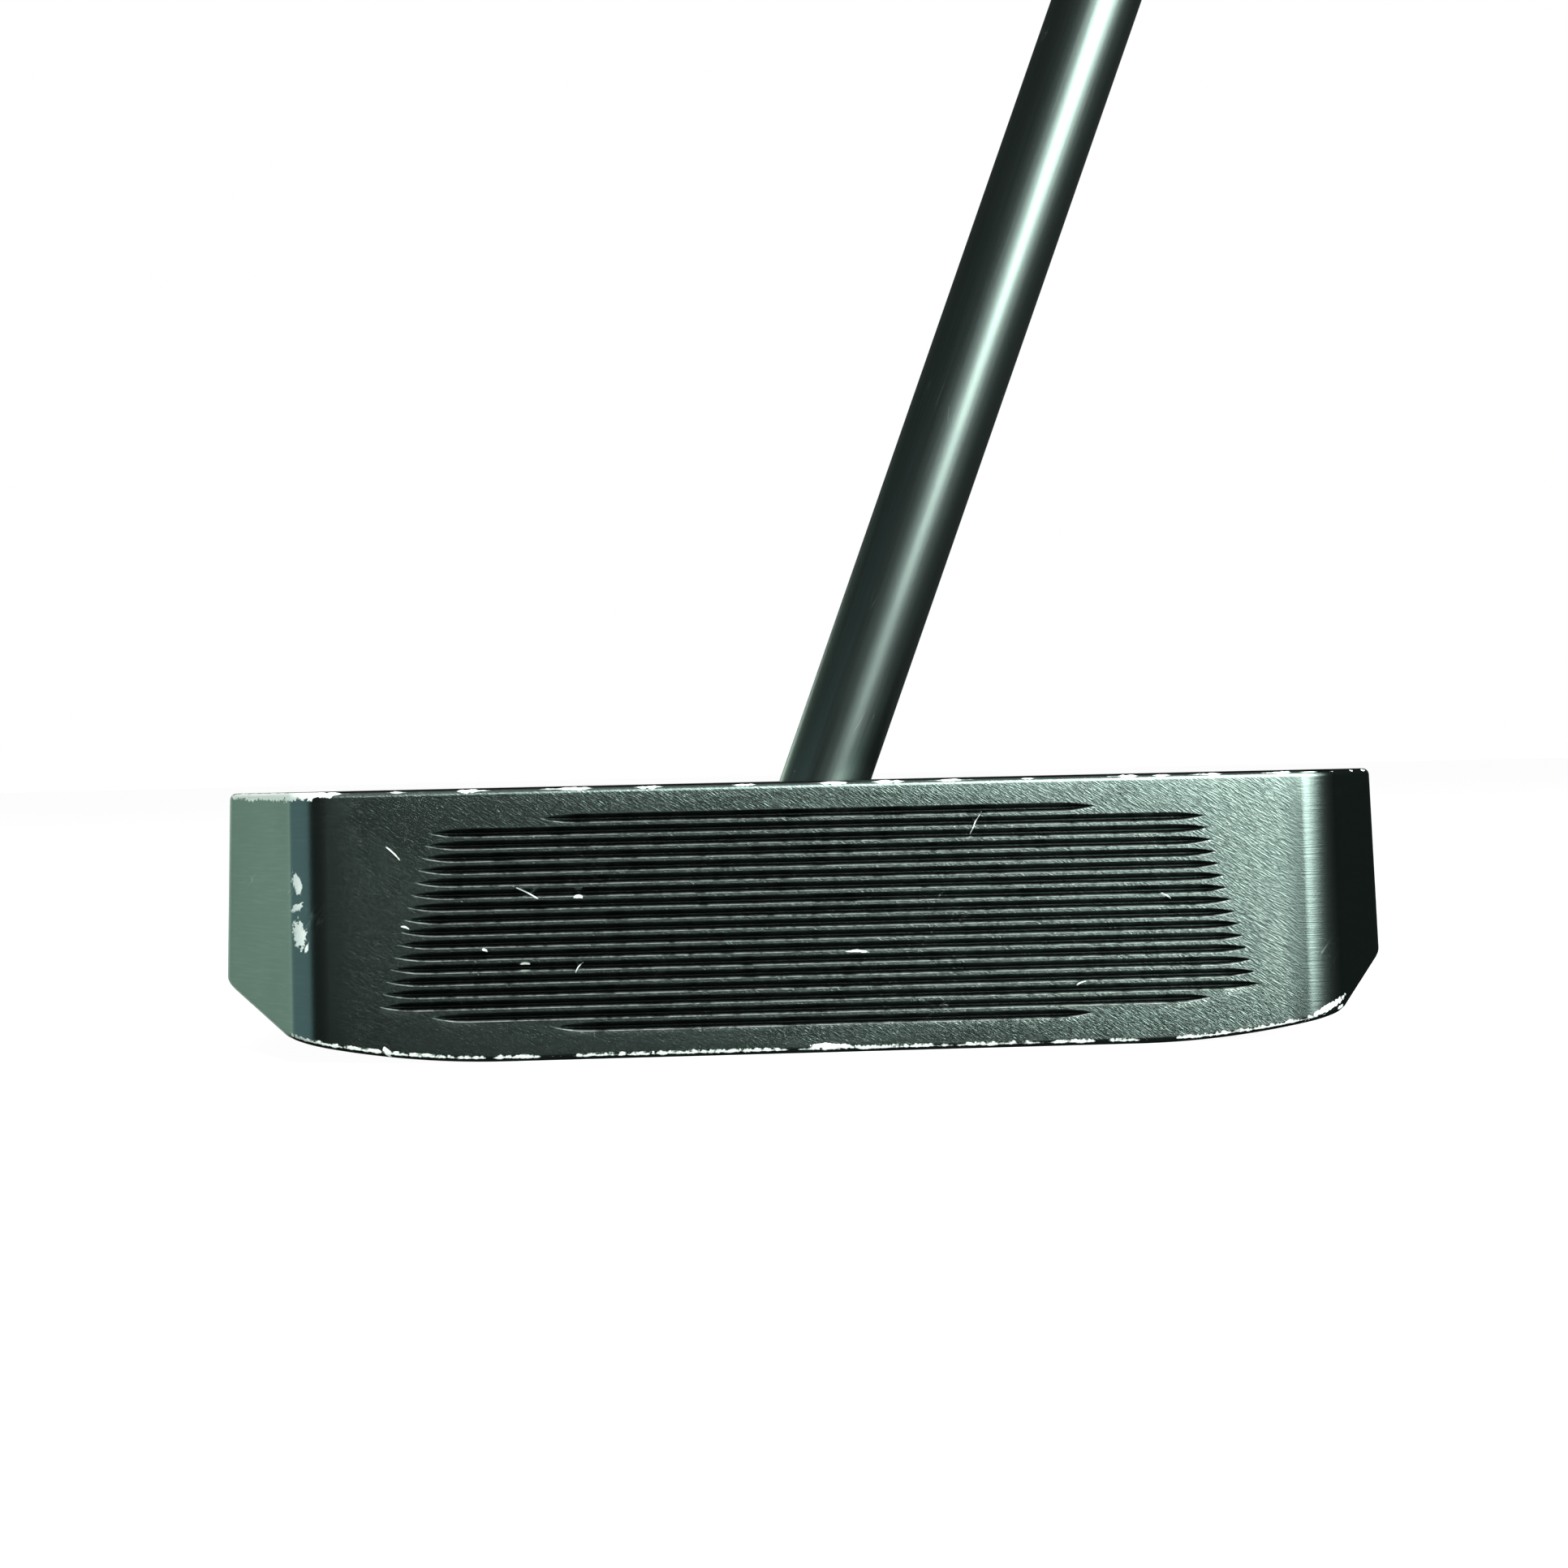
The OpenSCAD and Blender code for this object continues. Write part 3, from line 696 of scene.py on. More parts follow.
# pale specks of dust and pin-prick dents
specks, given, result = effect("specks", {"Size": 0.1, "Amount": 0.2})
cell = put(specks, "TexVoronoi", {"Vector": millimetres(specks), "Scale": 0.55})
shade = put(specks, "SeparateColor", {"Color": cell.outputs["Color"]})
chosen = calc(specks, "LESS_THAN", shade.outputs["Red"], given["Amount"])
radius = times(specks, given["Size"], scaled(specks, shade.outputs["Green"], 1.2, 0.4))
near = calc(specks, "LESS_THAN", calc(specks, "DIVIDE", cell.outputs["Distance"], 0.55), radius)
specks.links.new(times(specks, chosen, near), result)

# one nick on the face plane or near it: a ragged spot of a given size and slant
nick, given, result = effect("nick", {"X": 0.0, "Z": 0.0, "Slant": 0.0, "Length": 1.0, "Width": 0.2})
spot = put(nick, "CombineXYZ", {"X": given["X"], "Z": given["Z"]})
away = put(nick, "VectorMath", {0: millimetres(nick), 1: spot.outputs[0]}, operation="SUBTRACT")
turned = put(nick, "VectorRotate", {"Vector": away.outputs[0],
                                    "Angle": times(nick, given["Slant"], -1.0)},
             rotation_type="Y_AXIS")
part = put(nick, "SeparateXYZ", {"Vector": turned.outputs[0]})
along = calc(nick, "DIVIDE", part.outputs["X"], times(nick, given["Length"], 0.5))
bent = scaled(nick, times(nick, along, along), 0.06, part.outputs["Z"])
over = calc(nick, "DIVIDE", bent, times(nick, given["Width"], 0.5))
far = calc(nick, "SQRT", calc(nick, "ADD", times(nick, along, along), times(nick, over, over)))
rough_far = scaled(nick, noise(nick, millimetres(nick), 2.4, 4.0, 0.65), -2.6,
                   calc(nick, "ADD", far, 1.25))
inside_nick = between(nick, rough_far, 0.85, 1.0, 1.0, 0.0)
front = calc(nick, "LESS_THAN", put(nick, "SeparateXYZ", {"Vector": millimetres(nick)}).outputs["Y"],
             FACE_Y + 8)
nick.links.new(times(nick, inside_nick, front), result)


def finish(name, metallic=0.0, roughness=0.5):
    """A new material: returns it with its node tree and its surface shader."""
    material = bpy.data.materials.new(name)
    material.use_nodes = True
    shader = material.node_tree.nodes["Principled BSDF"]
    shader.inputs["Metallic"].default_value = metallic
    shader.inputs["Roughness"].default_value = roughness
    return material, material.node_tree, shader.inputs


def mix_colour(tree, amount, first, second):
    """Goes from the first colour to the second by an amount."""
    node = tree.nodes.new("ShaderNodeMix")
    node.data_type = "RGBA"
    for socket, value in zip((node.inputs[0], node.inputs[6], node.inputs[7]), (amount, first, second)):
        if isinstance(value, bpy.types.NodeSocket):
            tree.links.new(value, socket)
        else:
            socket.default_value = value
    return node.outputs[2]


def relief(tree, surface, height, distance, strength=1.0):
    """Raises fine relief on a surface: its depth in metres for a height of 1."""
    bump = put(tree, "Bump", {"Strength": strength, "Distance": distance, "Height": height})
    tree.links.new(bump.outputs["Normal"], surface["Normal"])


def dress(piece, material, slot=None):
    """Gives a piece its material, and a new piece its place on the club."""
    piece.data.materials.clear()
    piece.data.materials.append(material)
    if slot:
        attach(piece, "root")


DULL_EDGE = (0.36, 0.38, 0.37, 1)      # a dyed skin gains little shine towards the edge of sight
anodised, tree, surface = finish("black_anodised", metallic=1.0)
place = millimetres(tree)
xyz = put(tree, "SeparateXYZ", {"Vector": place})
across, depth = xyz.outputs["X"], xyz.outputs["Y"]
front = between(tree, depth, FACE_Y + 1.5, FACE_Y + 5, 1.0, 0.0)
toe_end = between(tree, across, -49.0, -54.0)
toe_end = times(tree, toe_end, between(tree, depth, FACE_Y + 10, FACE_Y + 24, 1.0, 0.0))
groove_shade_depth = between(tree, kept_number(tree, "groove_depth"), 0.02, 0.14)
sole_distance = kept_number(tree, "sole_edge")
crown_distance = kept_number(tree, "crown_edge")
sole_worn = apply_effect(tree, edge_wear, {"Distance": sole_distance, "Reach": 0.27,
                                           "Amount": scaled(tree, front, 0.55, 0.2)})
crown_worn = apply_effect(tree, edge_wear, {"Distance": crown_distance,
                                            "Reach": scaled(tree, toe_end, 0.5, 0.34),
                                            "Amount": scaled(tree, toe_end, 0.5, 0.40)})
worn = calc(tree, "MAXIMUM", sole_worn, crown_worn)
# where each nick is across the face and above the sole, its slant, length and width
NICKS = [(-30.5, 17.4, 0.5, 2.6, 0.13), (-25.2, 16.9, 0.1, 0.9, 0.32), (-30.9, 10.1, 0.0, 1.0, 0.3),
         (-35.0, 11.6, 0.5, 0.8, 0.25), (3.6, 10.5, 0.05, 2.0, 0.22), (16.3, 23.4, -1.1, 2.4, 0.10),
         (-44.2, 21.8, 0.8, 1.8, 0.12), (-25.4, 9.6, -0.9, 1.0, 0.12), (-43.2, 14.2, 0.3, 0.7, 0.2),
         (-54.3, 18.9, 1.3, 2.2, 1.0), (-54.4, 16.4, -0.6, 1.4, 0.7), (-54.1, 13.6, 1.4, 3.0, 1.4),
         (-53.4, 12.2, -1.3, 1.5, 0.35), (0.8, 0.75, 0.05, 4.2, 0.5), (-45.2, 1.3, 0.9, 1.2, 0.5),
         (53.4, 3.3, -0.40, 5.0, 0.6), (36.5, 15.4, 0.6, 1.1, 0.12), (27.0, 6.6, -0.4, 0.8, 0.14)]
for x, z, slant, length, width in NICKS:
    one = apply_effect(tree, nick, {"X": x, "Z": z, "Slant": slant, "Length": length, "Width": width})
    worn = calc(tree, "MAXIMUM", worn, one)
scratched = calc(tree, "MAXIMUM", apply_effect(tree, hairlines, {"Slant": 0.9, "Amount": 0.34}),
                 apply_effect(tree, hairlines, {"Slant": -0.5, "Amount": 0.2}))
dusty = apply_effect(tree, specks, {"Size": 0.05, "Amount": 0.10})
cloud = noise(tree, place, 0.08, 3.0)
grain = noise(tree, place, 5.0, 3.0, 0.6)
# the running colour: dye tone first, later with painted shade and a painted lip highlight mixed in
dye_and_painted_light = mix_colour(tree, cloud, (0.104, 0.128, 0.119, 1), (0.132, 0.156, 0.147, 1))
slanted = apply_effect(tree, cutter_marks, {"Slant": 0.56, "Length": 0.8, "Width": 0.125})
level = apply_effect(tree, cutter_marks, {"Slant": 0.0, "Length": 5.0, "Width": 0.22})
mid_face = between(tree, calc(tree, "ABSOLUTE", across), 48.0, 52.0, 1.0, 0.0)
marks = put(tree, "Mix", {0: times(tree, mid_face, front),
                          2: scaled(tree, level, 0.5, 0.25), 3: slanted})
crests = between(tree, marks.outputs[0], 0.45, 0.72)
lifted = scaled(tree, times(tree, mid_face, front), 0.32, 0.12)
dye_and_painted_light = mix_colour(tree, times(tree, crests, lifted), dye_and_painted_light, (0.27, 0.30, 0.285, 1))
# painted shade: the colour darkens towards the bottom of each groove, standing in for the shade inside it
dye_and_painted_light = mix_colour(tree, times(tree, groove_shade_depth, 0.88), dye_and_painted_light, (0.008, 0.011, 0.010, 1))
# painted shade: everything from the ramp back, and a thin band at crown height, is darkened to hold it down
# under the top light
painted_crown_deck_shade = calc(tree, "MAXIMUM", between(tree, depth, FACE_Y + 24, FACE_Y + 30),
                      between(tree, xyz.outputs["Z"], HEAD_H - 0.35, HEAD_H - 0.1))
dye_and_painted_light = mix_colour(tree, times(tree, painted_crown_deck_shade, 0.7), dye_and_painted_light, (0.020, 0.026, 0.024, 1))
# the lower lips of the grooves are lightened in patches: a painted highlight along the upward-facing lips,
# with rubbed wear
lip = kept_number(tree, "groove_lip")
lip_rub_and_highlight_patches = between(tree, noise(tree, place, 0.6, 4.0, 0.7), 0.34, 0.58)
lip_wear_and_highlight = times(tree, between(tree, lip, 0.45, 0.8), lip_rub_and_highlight_patches)
dye_and_painted_light = mix_colour(tree, times(tree, lip_wear_and_highlight, 0.85), dye_and_painted_light, (0.70, 0.75, 0.72, 1))
dye_and_painted_light = mix_colour(tree, times(tree, scratched, 0.5), dye_and_painted_light, (0.45, 0.48, 0.46, 1))
dye_and_painted_light = mix_colour(tree, times(tree, dusty, 0.7), dye_and_painted_light, (0.55, 0.57, 0.54, 1))
bare = mix_colour(tree, grain, (0.86, 0.86, 0.82, 1), (1.0, 1.0, 0.96, 1))
tree.links.new(mix_colour(tree, worn, dye_and_painted_light, bare), surface["Base Color"])
tree.links.new(scaled(tree, worn, -0.75, 1.0), surface["Metallic"])
satin = scaled(tree, grain, 0.08, 0.21)
tree.links.new(scaled(tree, worn, 0.2, satin), surface["Roughness"])
height = scaled(tree, worn, -0.6, marks.outputs[0])
height = scaled(tree, grain, 0.25, height)
relief(tree, surface, height, 0.000022)
surface["Specular Tint"].default_value = DULL_EDGE
dress(head_piece, anodised, "anodised_head")

# ---- Shaft block and its screws --------------------------------------------------
# A steel block let into the crown and blackened, bored at the lie angle for the shaft,
# and held by two socket screws from the sole. Its edges are broken.
blackened, tree, surface = finish("blackened_steel", metallic=1.0)
place = millimetres(tree)
cloud = noise(tree, place, 0.3, 3.0)
tree.links.new(mix_colour(tree, cloud, (0.085, 0.095, 0.092, 1), (0.125, 0.135, 0.130, 1)),
               surface["Base Color"])
tree.links.new(scaled(tree, noise(tree, place, 4.0, 3.0), 0.14, 0.30), surface["Roughness"])
ground = apply_effect(tree, cutter_marks, {"Slant": 0.0, "Length": 6.0, "Width": 0.14})
relief(tree, surface, ground, 0.00001)
surface["Specular Tint"].default_value = DULL_EDGE
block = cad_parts["shaft_block"]
dress(block, blackened)


def break_edges(piece, width):
    """Takes the sharp edges off a machined piece."""
    bevel = piece.modifiers.new("broken_edges", "BEVEL")
    bevel.width = width
    bevel.segments = 2
    bevel.limit_method = "ANGLE"
    bevel.angle_limit = math.radians(50)
    bevel.use_clamp_overlap = True
    even = piece.modifiers.new("even_shading", "WEIGHTED_NORMAL")
    even.keep_sharp = True


BROKEN_EDGE = 0.00015
break_edges(block, BROKEN_EDGE)

screw_steel, tree, surface = finish("screw_steel", metallic=1.0)
place = millimetres(tree)
tree.links.new(mix_colour(tree, noise(tree, place, 0.8, 3.0), (0.40, 0.41, 0.40, 1),
                          (0.56, 0.57, 0.56, 1)), surface["Base Color"])
tree.links.new(scaled(tree, noise(tree, place, 5.0, 2.0), 0.2, 0.24), surface["Roughness"])
turned_marks = apply_effect(tree, cutter_marks, {"Slant": 0.3, "Length": 3.0, "Width": 0.12})
relief(tree, surface, turned_marks, 0.000008)
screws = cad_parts["block_screws"]
dress(screws, screw_steel)
break_edges(screws, BROKEN_EDGE)

# ---- Sole weights ----------------------------------------------------------------
# Eight threaded discs of stainless steel, turned on a lathe with a hexagon socket, and
# screwed up into the sole just below its surface.
WEIGHT_HEX = 4.0


def sole_weight(name):
    """One weight, made about its own axis and then set in the sole."""
    shell = Shell()
    stand = weight_frames[name]
    radius = WEIGHT_D / 2
    sides = 48
    angles = [2 * math.pi * k / sides for k in range(sides)]

    def hexagon(a, flat):
        return flat / 2 / math.cos((a + math.pi / 6) % (math.pi / 3) - math.pi / 6)

    z0, z1 = WEIGHT_SUNK, WEIGHT_SUNK + WEIGHT_T
    socket = z0 + 2.6
    profile = [(lambda a: hexagon(a, WEIGHT_HEX), socket), (lambda a: hexagon(a, WEIGHT_HEX), z0 + 0.25),
               (lambda a: hexagon(a, WEIGHT_HEX + 0.5), z0)]
    profile += [(lambda a, r=r: r, z) for r, z in
                ((radius - 1.15, z0), (radius - 1.05, z0 + 0.08), (radius - 0.95, z0), (radius - 0.5, z0),
                 (radius - 0.15, z0 + 0.12), (radius, z0 + 0.5), (radius, z1 - 0.4), (radius - 0.4, z1))]
    rows = [[shell.add(stand @ Vector((r(a) * math.cos(a), r(a) * math.sin(a), z))) for a in angles]
            for r, z in profile]
    for a, b in zip(rows, rows[1:]):
        shell.strip(b, a)
    shell.faces.append(rows[0][::-1])
    shell.faces.append(rows[-1])
    return shell.build(name + "_turned", 35)


turned_steel, tree, surface = finish("turned_stainless", metallic=1.0)
middle = put(tree, "VectorMath", {0: put(tree, "TexCoord").outputs["Generated"], 1: (0.5, 0.5, 0.5)},
             operation="SUBTRACT")
part = put(tree, "SeparateXYZ", {"Vector": middle.outputs[0]})
flat_xy = put(tree, "CombineXYZ", {"X": part.outputs["X"], "Y": part.outputs["Y"]})
from_axis = put(tree, "VectorMath", {0: flat_xy.outputs[0]}, operation="LENGTH").outputs["Value"]
rings = calc(tree, "SINE", times(tree, from_axis, 240.0))
place = millimetres(tree)
cloud = noise(tree, place, 0.6, 3.0)
scratched = apply_effect(tree, hairlines, {"Slant": 0.2, "Amount": 0.8})
steel = mix_colour(tree, cloud, (0.46, 0.47, 0.455, 1), (0.60, 0.61, 0.59, 1))
tree.links.new(mix_colour(tree, times(tree, scratched, 0.5), steel, (0.75, 0.75, 0.74, 1)),
               surface["Base Color"])
tree.links.new(scaled(tree, cloud, 0.18, 0.2), surface["Roughness"])
relief(tree, surface, rings, 0.000008, 0.7)
for name in WEIGHTS:
    weight = sole_weight(name)
    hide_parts(name)
    dress(weight, turned_steel, "weight_steel")

# ---- Sight line ------------------------------------------------------------------
# White enamel run into the milled channel along the spine. It creeps up the walls of
# the channel as it dries, so it is lowest along its middle.
paint = Shell()
LINE_STEPS, LINE_ACROSS = 90, 8
rows = []
for i in range(LINE_STEPS + 1):
    y = line_low.y + 0.03 + (line_high.y - line_low.y - 0.06) * i / LINE_STEPS
    end = 1 - smooth(min(i, LINE_STEPS - i) / 2)
    row = []
    for k in range(LINE_ACROSS + 1):
        u = 2 * k / LINE_ACROSS - 1
        ripple = 0.006 * math.sin(0.9 * y) * math.cos(2.1 * u + 0.5 * y)
        z = line_high.z - 0.07 + 0.055 * u * u + ripple + 0.02 * end
        row.append(paint.add((u * (line_high.x - 0.02), y, min(z, line_high.z))))
    rows.append(row)
base = [[paint.add((u * (line_high.x - 0.02), paint.points[row[0]].y, line_low.z + 0.02))
         for u in (-1, 1)] for row in rows]
for i in range(LINE_STEPS):
    for k in range(LINE_ACROSS):
        paint.faces.append((rows[i][k], rows[i][k + 1], rows[i + 1][k + 1], rows[i + 1][k]))
    paint.faces.append((base[i][0], base[i + 1][0], base[i + 1][1], base[i][1]))
    paint.faces.append((base[i][1], base[i + 1][1], rows[i + 1][-1], rows[i][-1]))
    paint.faces.append((base[i + 1][0], base[i][0], rows[i][0], rows[i + 1][0]))
paint.faces.append([base[0][0], base[0][1]] + rows[0][::-1])
paint.faces.append([base[-1][1], base[-1][0]] + rows[-1])
sight_line = paint.build("sight_line_paint", 40)
enamel, tree, surface = finish("white_enamel", roughness=0.28)
place = millimetres(tree)
grime = between(tree, noise(tree, place, 0.7, 4.0, 0.6), 0.5, 0.75)
tree.links.new(mix_colour(tree, grime, (0.86, 0.87, 0.85, 1), (0.66, 0.67, 0.63, 1)), surface["Base Color"])
surface["Coat Weight"].default_value = 0.3
relief(tree, surface, noise(tree, place, 1.6, 2.0), 0.00003, 0.6)
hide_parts("sight_line")
dress(sight_line, enamel, "white_paint")

# ---- Shaft -----------------------------------------------------------------------
# A drawn steel tube, stepped towards the butt, plated and finished in satin black. Its
# parallel tip is bonded into the block, with a cork inside to stop the adhesive.
LEAN = math.radians(20.5)
SHAFT_X, SHAFT_Y = 1.7, 14.5
TIP_D, BUTT_D, TUBE_WALL = 9.4, 14.7, 0.5
TIP_L, STEPS, STEP_L, STEP_EDGE = 230.0, 9, 35.0, 1.2
TIP_GAP, CAP_T, CLUB_L = 9.0, 5.0, 864.0
BUTT_AT = CLUB_L - CAP_T
axis_frame = (Matrix.Translation((SHAFT_X - HEAD_H * math.tan(LEAN), FACE_Y + SHAFT_Y, 0))
              @ Matrix.Rotation(LEAN, 4, "Y"))


def lathe(name, profile, sides, sharp_angle=35):
    """Turns a closed profile of (radius, distance up the shaft) about the shaft's axis."""
    shell = Shell()
    rows = []
    for r, s in profile:
        if r == 0:
            rows.append([shell.add(axis_frame @ Vector((0, 0, s)))] * sides)
        else:
            turns = [2 * math.pi * k / sides for k in range(sides)]
            rows.append([shell.add(axis_frame @ Vector((r * math.cos(a), r * math.sin(a), s)))
                         for a in turns])
    pairs = list(zip(rows, rows[1:]))
    if profile[0][0] != 0:
        pairs.append((rows[-1], rows[0]))
    for a, b in pairs:
        for i in range(sides):
            j = (i + 1) % sides
            ring = list(dict.fromkeys((a[i], a[j], b[j], b[i])))
            if len(ring) > 2:
                shell.faces.append(ring)
    return shell.build(name, sharp_angle)


def step_r(i):
    """Outside radius of the tube past its step i, counted from the tip."""
    return (TIP_D + (BUTT_D - TIP_D) * i / STEPS) / 2


tube = [(step_r(0) - 0.25, TIP_GAP), (step_r(0), TIP_GAP + 0.3)]
tube += [(step_r(0), TIP_GAP + s) for s in range(10, int(TIP_L), 10)]
for i in range(STEPS):
    at = TIP_GAP + TIP_L + i * STEP_L
    tube += [(step_r(i), at - 0.3), (step_r(i) + 0.03, at + 0.2)]
    tube += [(step_r(i + 1) - 0.03, at + STEP_EDGE - 0.2), (step_r(i + 1), at + STEP_EDGE + 0.3)]
tube += [(step_r(STEPS), BUTT_AT - 0.3), (step_r(STEPS) - 0.25, BUTT_AT)]
tube += [(step_r(STEPS) - TUBE_WALL, BUTT_AT), (step_r(0) - TUBE_WALL, TIP_GAP + TIP_L),
         (step_r(0) - TUBE_WALL, TIP_GAP)]
shaft = lathe("shaft_tube", tube, 128, 50)

satin_black, tree, surface = finish("satin_black_plate", metallic=1.0)
place = millimetres(tree)
drawn = put(tree, "VectorRotate", {"Vector": place, "Angle": -LEAN}, rotation_type="Y_AXIS")
drawn_long = put(tree, "VectorMath", {0: drawn.outputs[0], 1: (3.2, 3.2, 0.05)}, operation="MULTIPLY")
streak = noise(tree, drawn_long.outputs[0], 1.0, 3.0, 0.6)
cloud = noise(tree, place, 0.12, 3.0)
peel = noise(tree, place, 2.2, 3.0, 0.6)
scuffed = apply_effect(tree, hairlines, {"Slant": 1.2, "Amount": 0.42})
pricks = apply_effect(tree, specks, {"Size": 0.11, "Amount": 0.05})
plate = mix_colour(tree, cloud, (0.150, 0.176, 0.165, 1), (0.185, 0.212, 0.200, 1))
plate = mix_colour(tree, times(tree, scuffed, 0.5), plate, (0.5, 0.52, 0.5, 1))
plate = mix_colour(tree, pricks, plate, (0.72, 0.73, 0.66, 1))
tree.links.new(plate, surface["Base Color"])
tree.links.new(scaled(tree, streak, 0.10, 0.25), surface["Roughness"])
height = scaled(tree, peel, 0.35, streak)
relief(tree, surface, height, 0.000007)
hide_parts("shaft")
dress(shaft, satin_black, "shaft_finish")

# ---- Tip cork and bond -----------------------------------------------------------
# A plug of pressed cork pushed into the tip of the tube, and the film of cured epoxy
# between the tip and the bore of the block.
cork, tree, surface = finish("pressed_cork", roughness=0.85)
place = millimetres(tree)
crumbs = put(tree, "TexVoronoi", {"Vector": place, "Scale": 1.4})
tree.links.new(mix_colour(tree, crumbs.outputs["Distance"], (0.62, 0.42, 0.24, 1), (0.33, 0.19, 0.09, 1)),
               surface["Base Color"])
relief(tree, surface, crumbs.outputs["Distance"], 0.0002, 0.8)
dress(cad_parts["tip_cork"], cork)

epoxy, tree, surface = finish("cured_epoxy", roughness=0.35)
place = millimetres(tree)
tree.links.new(mix_colour(tree, noise(tree, place, 0.9, 3.0), (0.58, 0.50, 0.30, 1), (0.70, 0.64, 0.45, 1)),
               surface["Base Color"])
relief(tree, surface, noise(tree, place, 2.0, 3.0), 0.00005, 0.5)
dress(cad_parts["shaft_bond"], epoxy)

# ---- Grip skin -------------------------------------------------------------------
# A skin of embossed synthetic leather, wrapped round a foam core and sewn along the palm
# side. It is round at its lower end, and deep with a flat for the thumbs at the butt.
GRIP_L, COLLAR_L = 267.0, 7.0
GRIP_AT = CLUB_L - GRIP_L
SKIN_AT, SKIN_L = GRIP_AT + COLLAR_L, BUTT_AT - GRIP_AT - COLLAR_L
GRIP_W, GRIP_DEPTH, GRIP_LOW_R = 27.0, 32.0, 10.25
PALM_SHARE, THUMB_SHARE = 0.56, 0.44
SKIN_T = 1.3
GRIP_SIDES = 144


def grip_point(a, t, inset):
    """A point of the grip's outline at an angle from the palm and a share of its length."""
    e = smooth(t)
    half_w = GRIP_LOW_R + (GRIP_W / 2 - GRIP_LOW_R) * e - inset
    palm = GRIP_LOW_R + (GRIP_DEPTH * PALM_SHARE - GRIP_LOW_R) * e - inset
    thumb = GRIP_LOW_R + (GRIP_DEPTH * THUMB_SHARE - GRIP_LOW_R) * e - inset
    flat_at = -thumb * (1 - 0.12 * e)
    x = math.cos(a) * (palm if math.cos(a) > 0 else thumb)
    over = max(0.0, flat_at + 0.8 - x)
    x = max(x, flat_at + 0.8 - 0.8 * (1 - math.exp(-over / 0.8))) if over > 0 else x
    return Vector((x, half_w * math.sin(a), 0))


def emboss(a, s):
    """Depth pressed into the skin: lozenges round the palm, fine bars on the thumb flat."""
    from_thumb = abs(math.pi - a % (2 * math.pi))
    around = a * GRIP_W / 2
    thumb = smooth((0.62 - from_thumb) / 0.05)
    border = math.exp(-((from_thumb - 0.66) / 0.035) ** 2)
    edge = smooth((s - 7) / 3) * smooth((SKIN_L - 7 - s) / 3)
    crossing = [(around + way * 0.62 * s) / 5.2 for way in (1, -1)]
    lattice = max(math.exp(-(math.sin(math.pi * c) / 0.24) ** 2) for c in crossing)
    bars = math.exp(-(math.sin(math.pi * s / 3.4) / 0.3) ** 2) * smooth((0.5 - from_thumb) / 0.05)
    from_seam = abs((a + math.pi) % (2 * math.pi) - math.pi) * GRIP_W / 2
    clear = smooth((from_seam - 3.2) / 0.8)
    seam = math.exp(-(from_seam / 0.5) ** 2) * 0.75
    hem = 0.3 * (math.exp(-((s - 4.5) / 0.6) ** 2) + math.exp(-((SKIN_L - 4.5 - s) / 0.6) ** 2))
    pressed = (1 - thumb) * 0.34 * lattice * clear + thumb * 0.24 * bars
    return max(pressed * edge, 0.4 * border * edge, seam, hem)


skin = Shell()
skin_rings = 300
rows = []
for k in range(skin_rings + 1):
    s = SKIN_L * k / skin_rings
    rim = 0.5 * (1 - min(1.0, min(s, SKIN_L - s) / 0.8)) ** 2
    row = []
    for i in range(GRIP_SIDES):
        a = 2 * math.pi * i / GRIP_SIDES
        deep = emboss(a, s)
        p = grip_point(a, s / SKIN_L, deep + rim)
        row.append(skin.add(axis_frame @ Vector((p.x, p.y, SKIN_AT + s)), (deep, 0, 0, 0)))
    rows.append(row)
for s in (SKIN_L, 0):
    row = []
    for i in range(GRIP_SIDES):
        p = grip_point(2 * math.pi * i / GRIP_SIDES, s / SKIN_L, SKIN_T)
        row.append(skin.add(axis_frame @ Vector((p.x, p.y, SKIN_AT + s)), (0, 0, 0, 0)))
    rows.append(row)
for a, b in zip(rows, rows[1:] + rows[:1]):
    skin.strip(a, b)
grip_skin = skin.build("grip_skin_embossed", 55)
skin.mark(grip_skin, ("pressed",))
leather, tree, surface = finish("embossed_leather")
place = millimetres(tree)
pressed = kept_number(tree, "pressed")
pebble = put(tree, "TexVoronoi", {"Vector": place, "Scale": 1.9}, feature="SMOOTH_F1").outputs["Distance"]
fine = noise(tree, place, 5.0, 4.0, 0.6)
cloud = noise(tree, place, 0.05, 3.0)
hide = mix_colour(tree, cloud, (0.014, 0.016, 0.016, 1), (0.022, 0.025, 0.024, 1))
# painted shade: the skin is darker where it is pressed in, in the lozenges, bars, seam and hems
hide = mix_colour(tree, between(tree, pressed, 0.05, 0.35), hide, (0.008, 0.009, 0.009, 1))
dusty = apply_effect(tree, specks, {"Size": 0.09, "Amount": 0.06})
hide = mix_colour(tree, times(tree, dusty, 0.5), hide, (0.30, 0.31, 0.29, 1))
tree.links.new(hide, surface["Base Color"])
tree.links.new(scaled(tree, fine, 0.2, 0.48), surface["Roughness"])
height = scaled(tree, fine, 0.4, pebble)
relief(tree, surface, height, 0.00012, 0.8)
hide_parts("grip_skin")
dress(grip_skin, leather, "grip_skin")

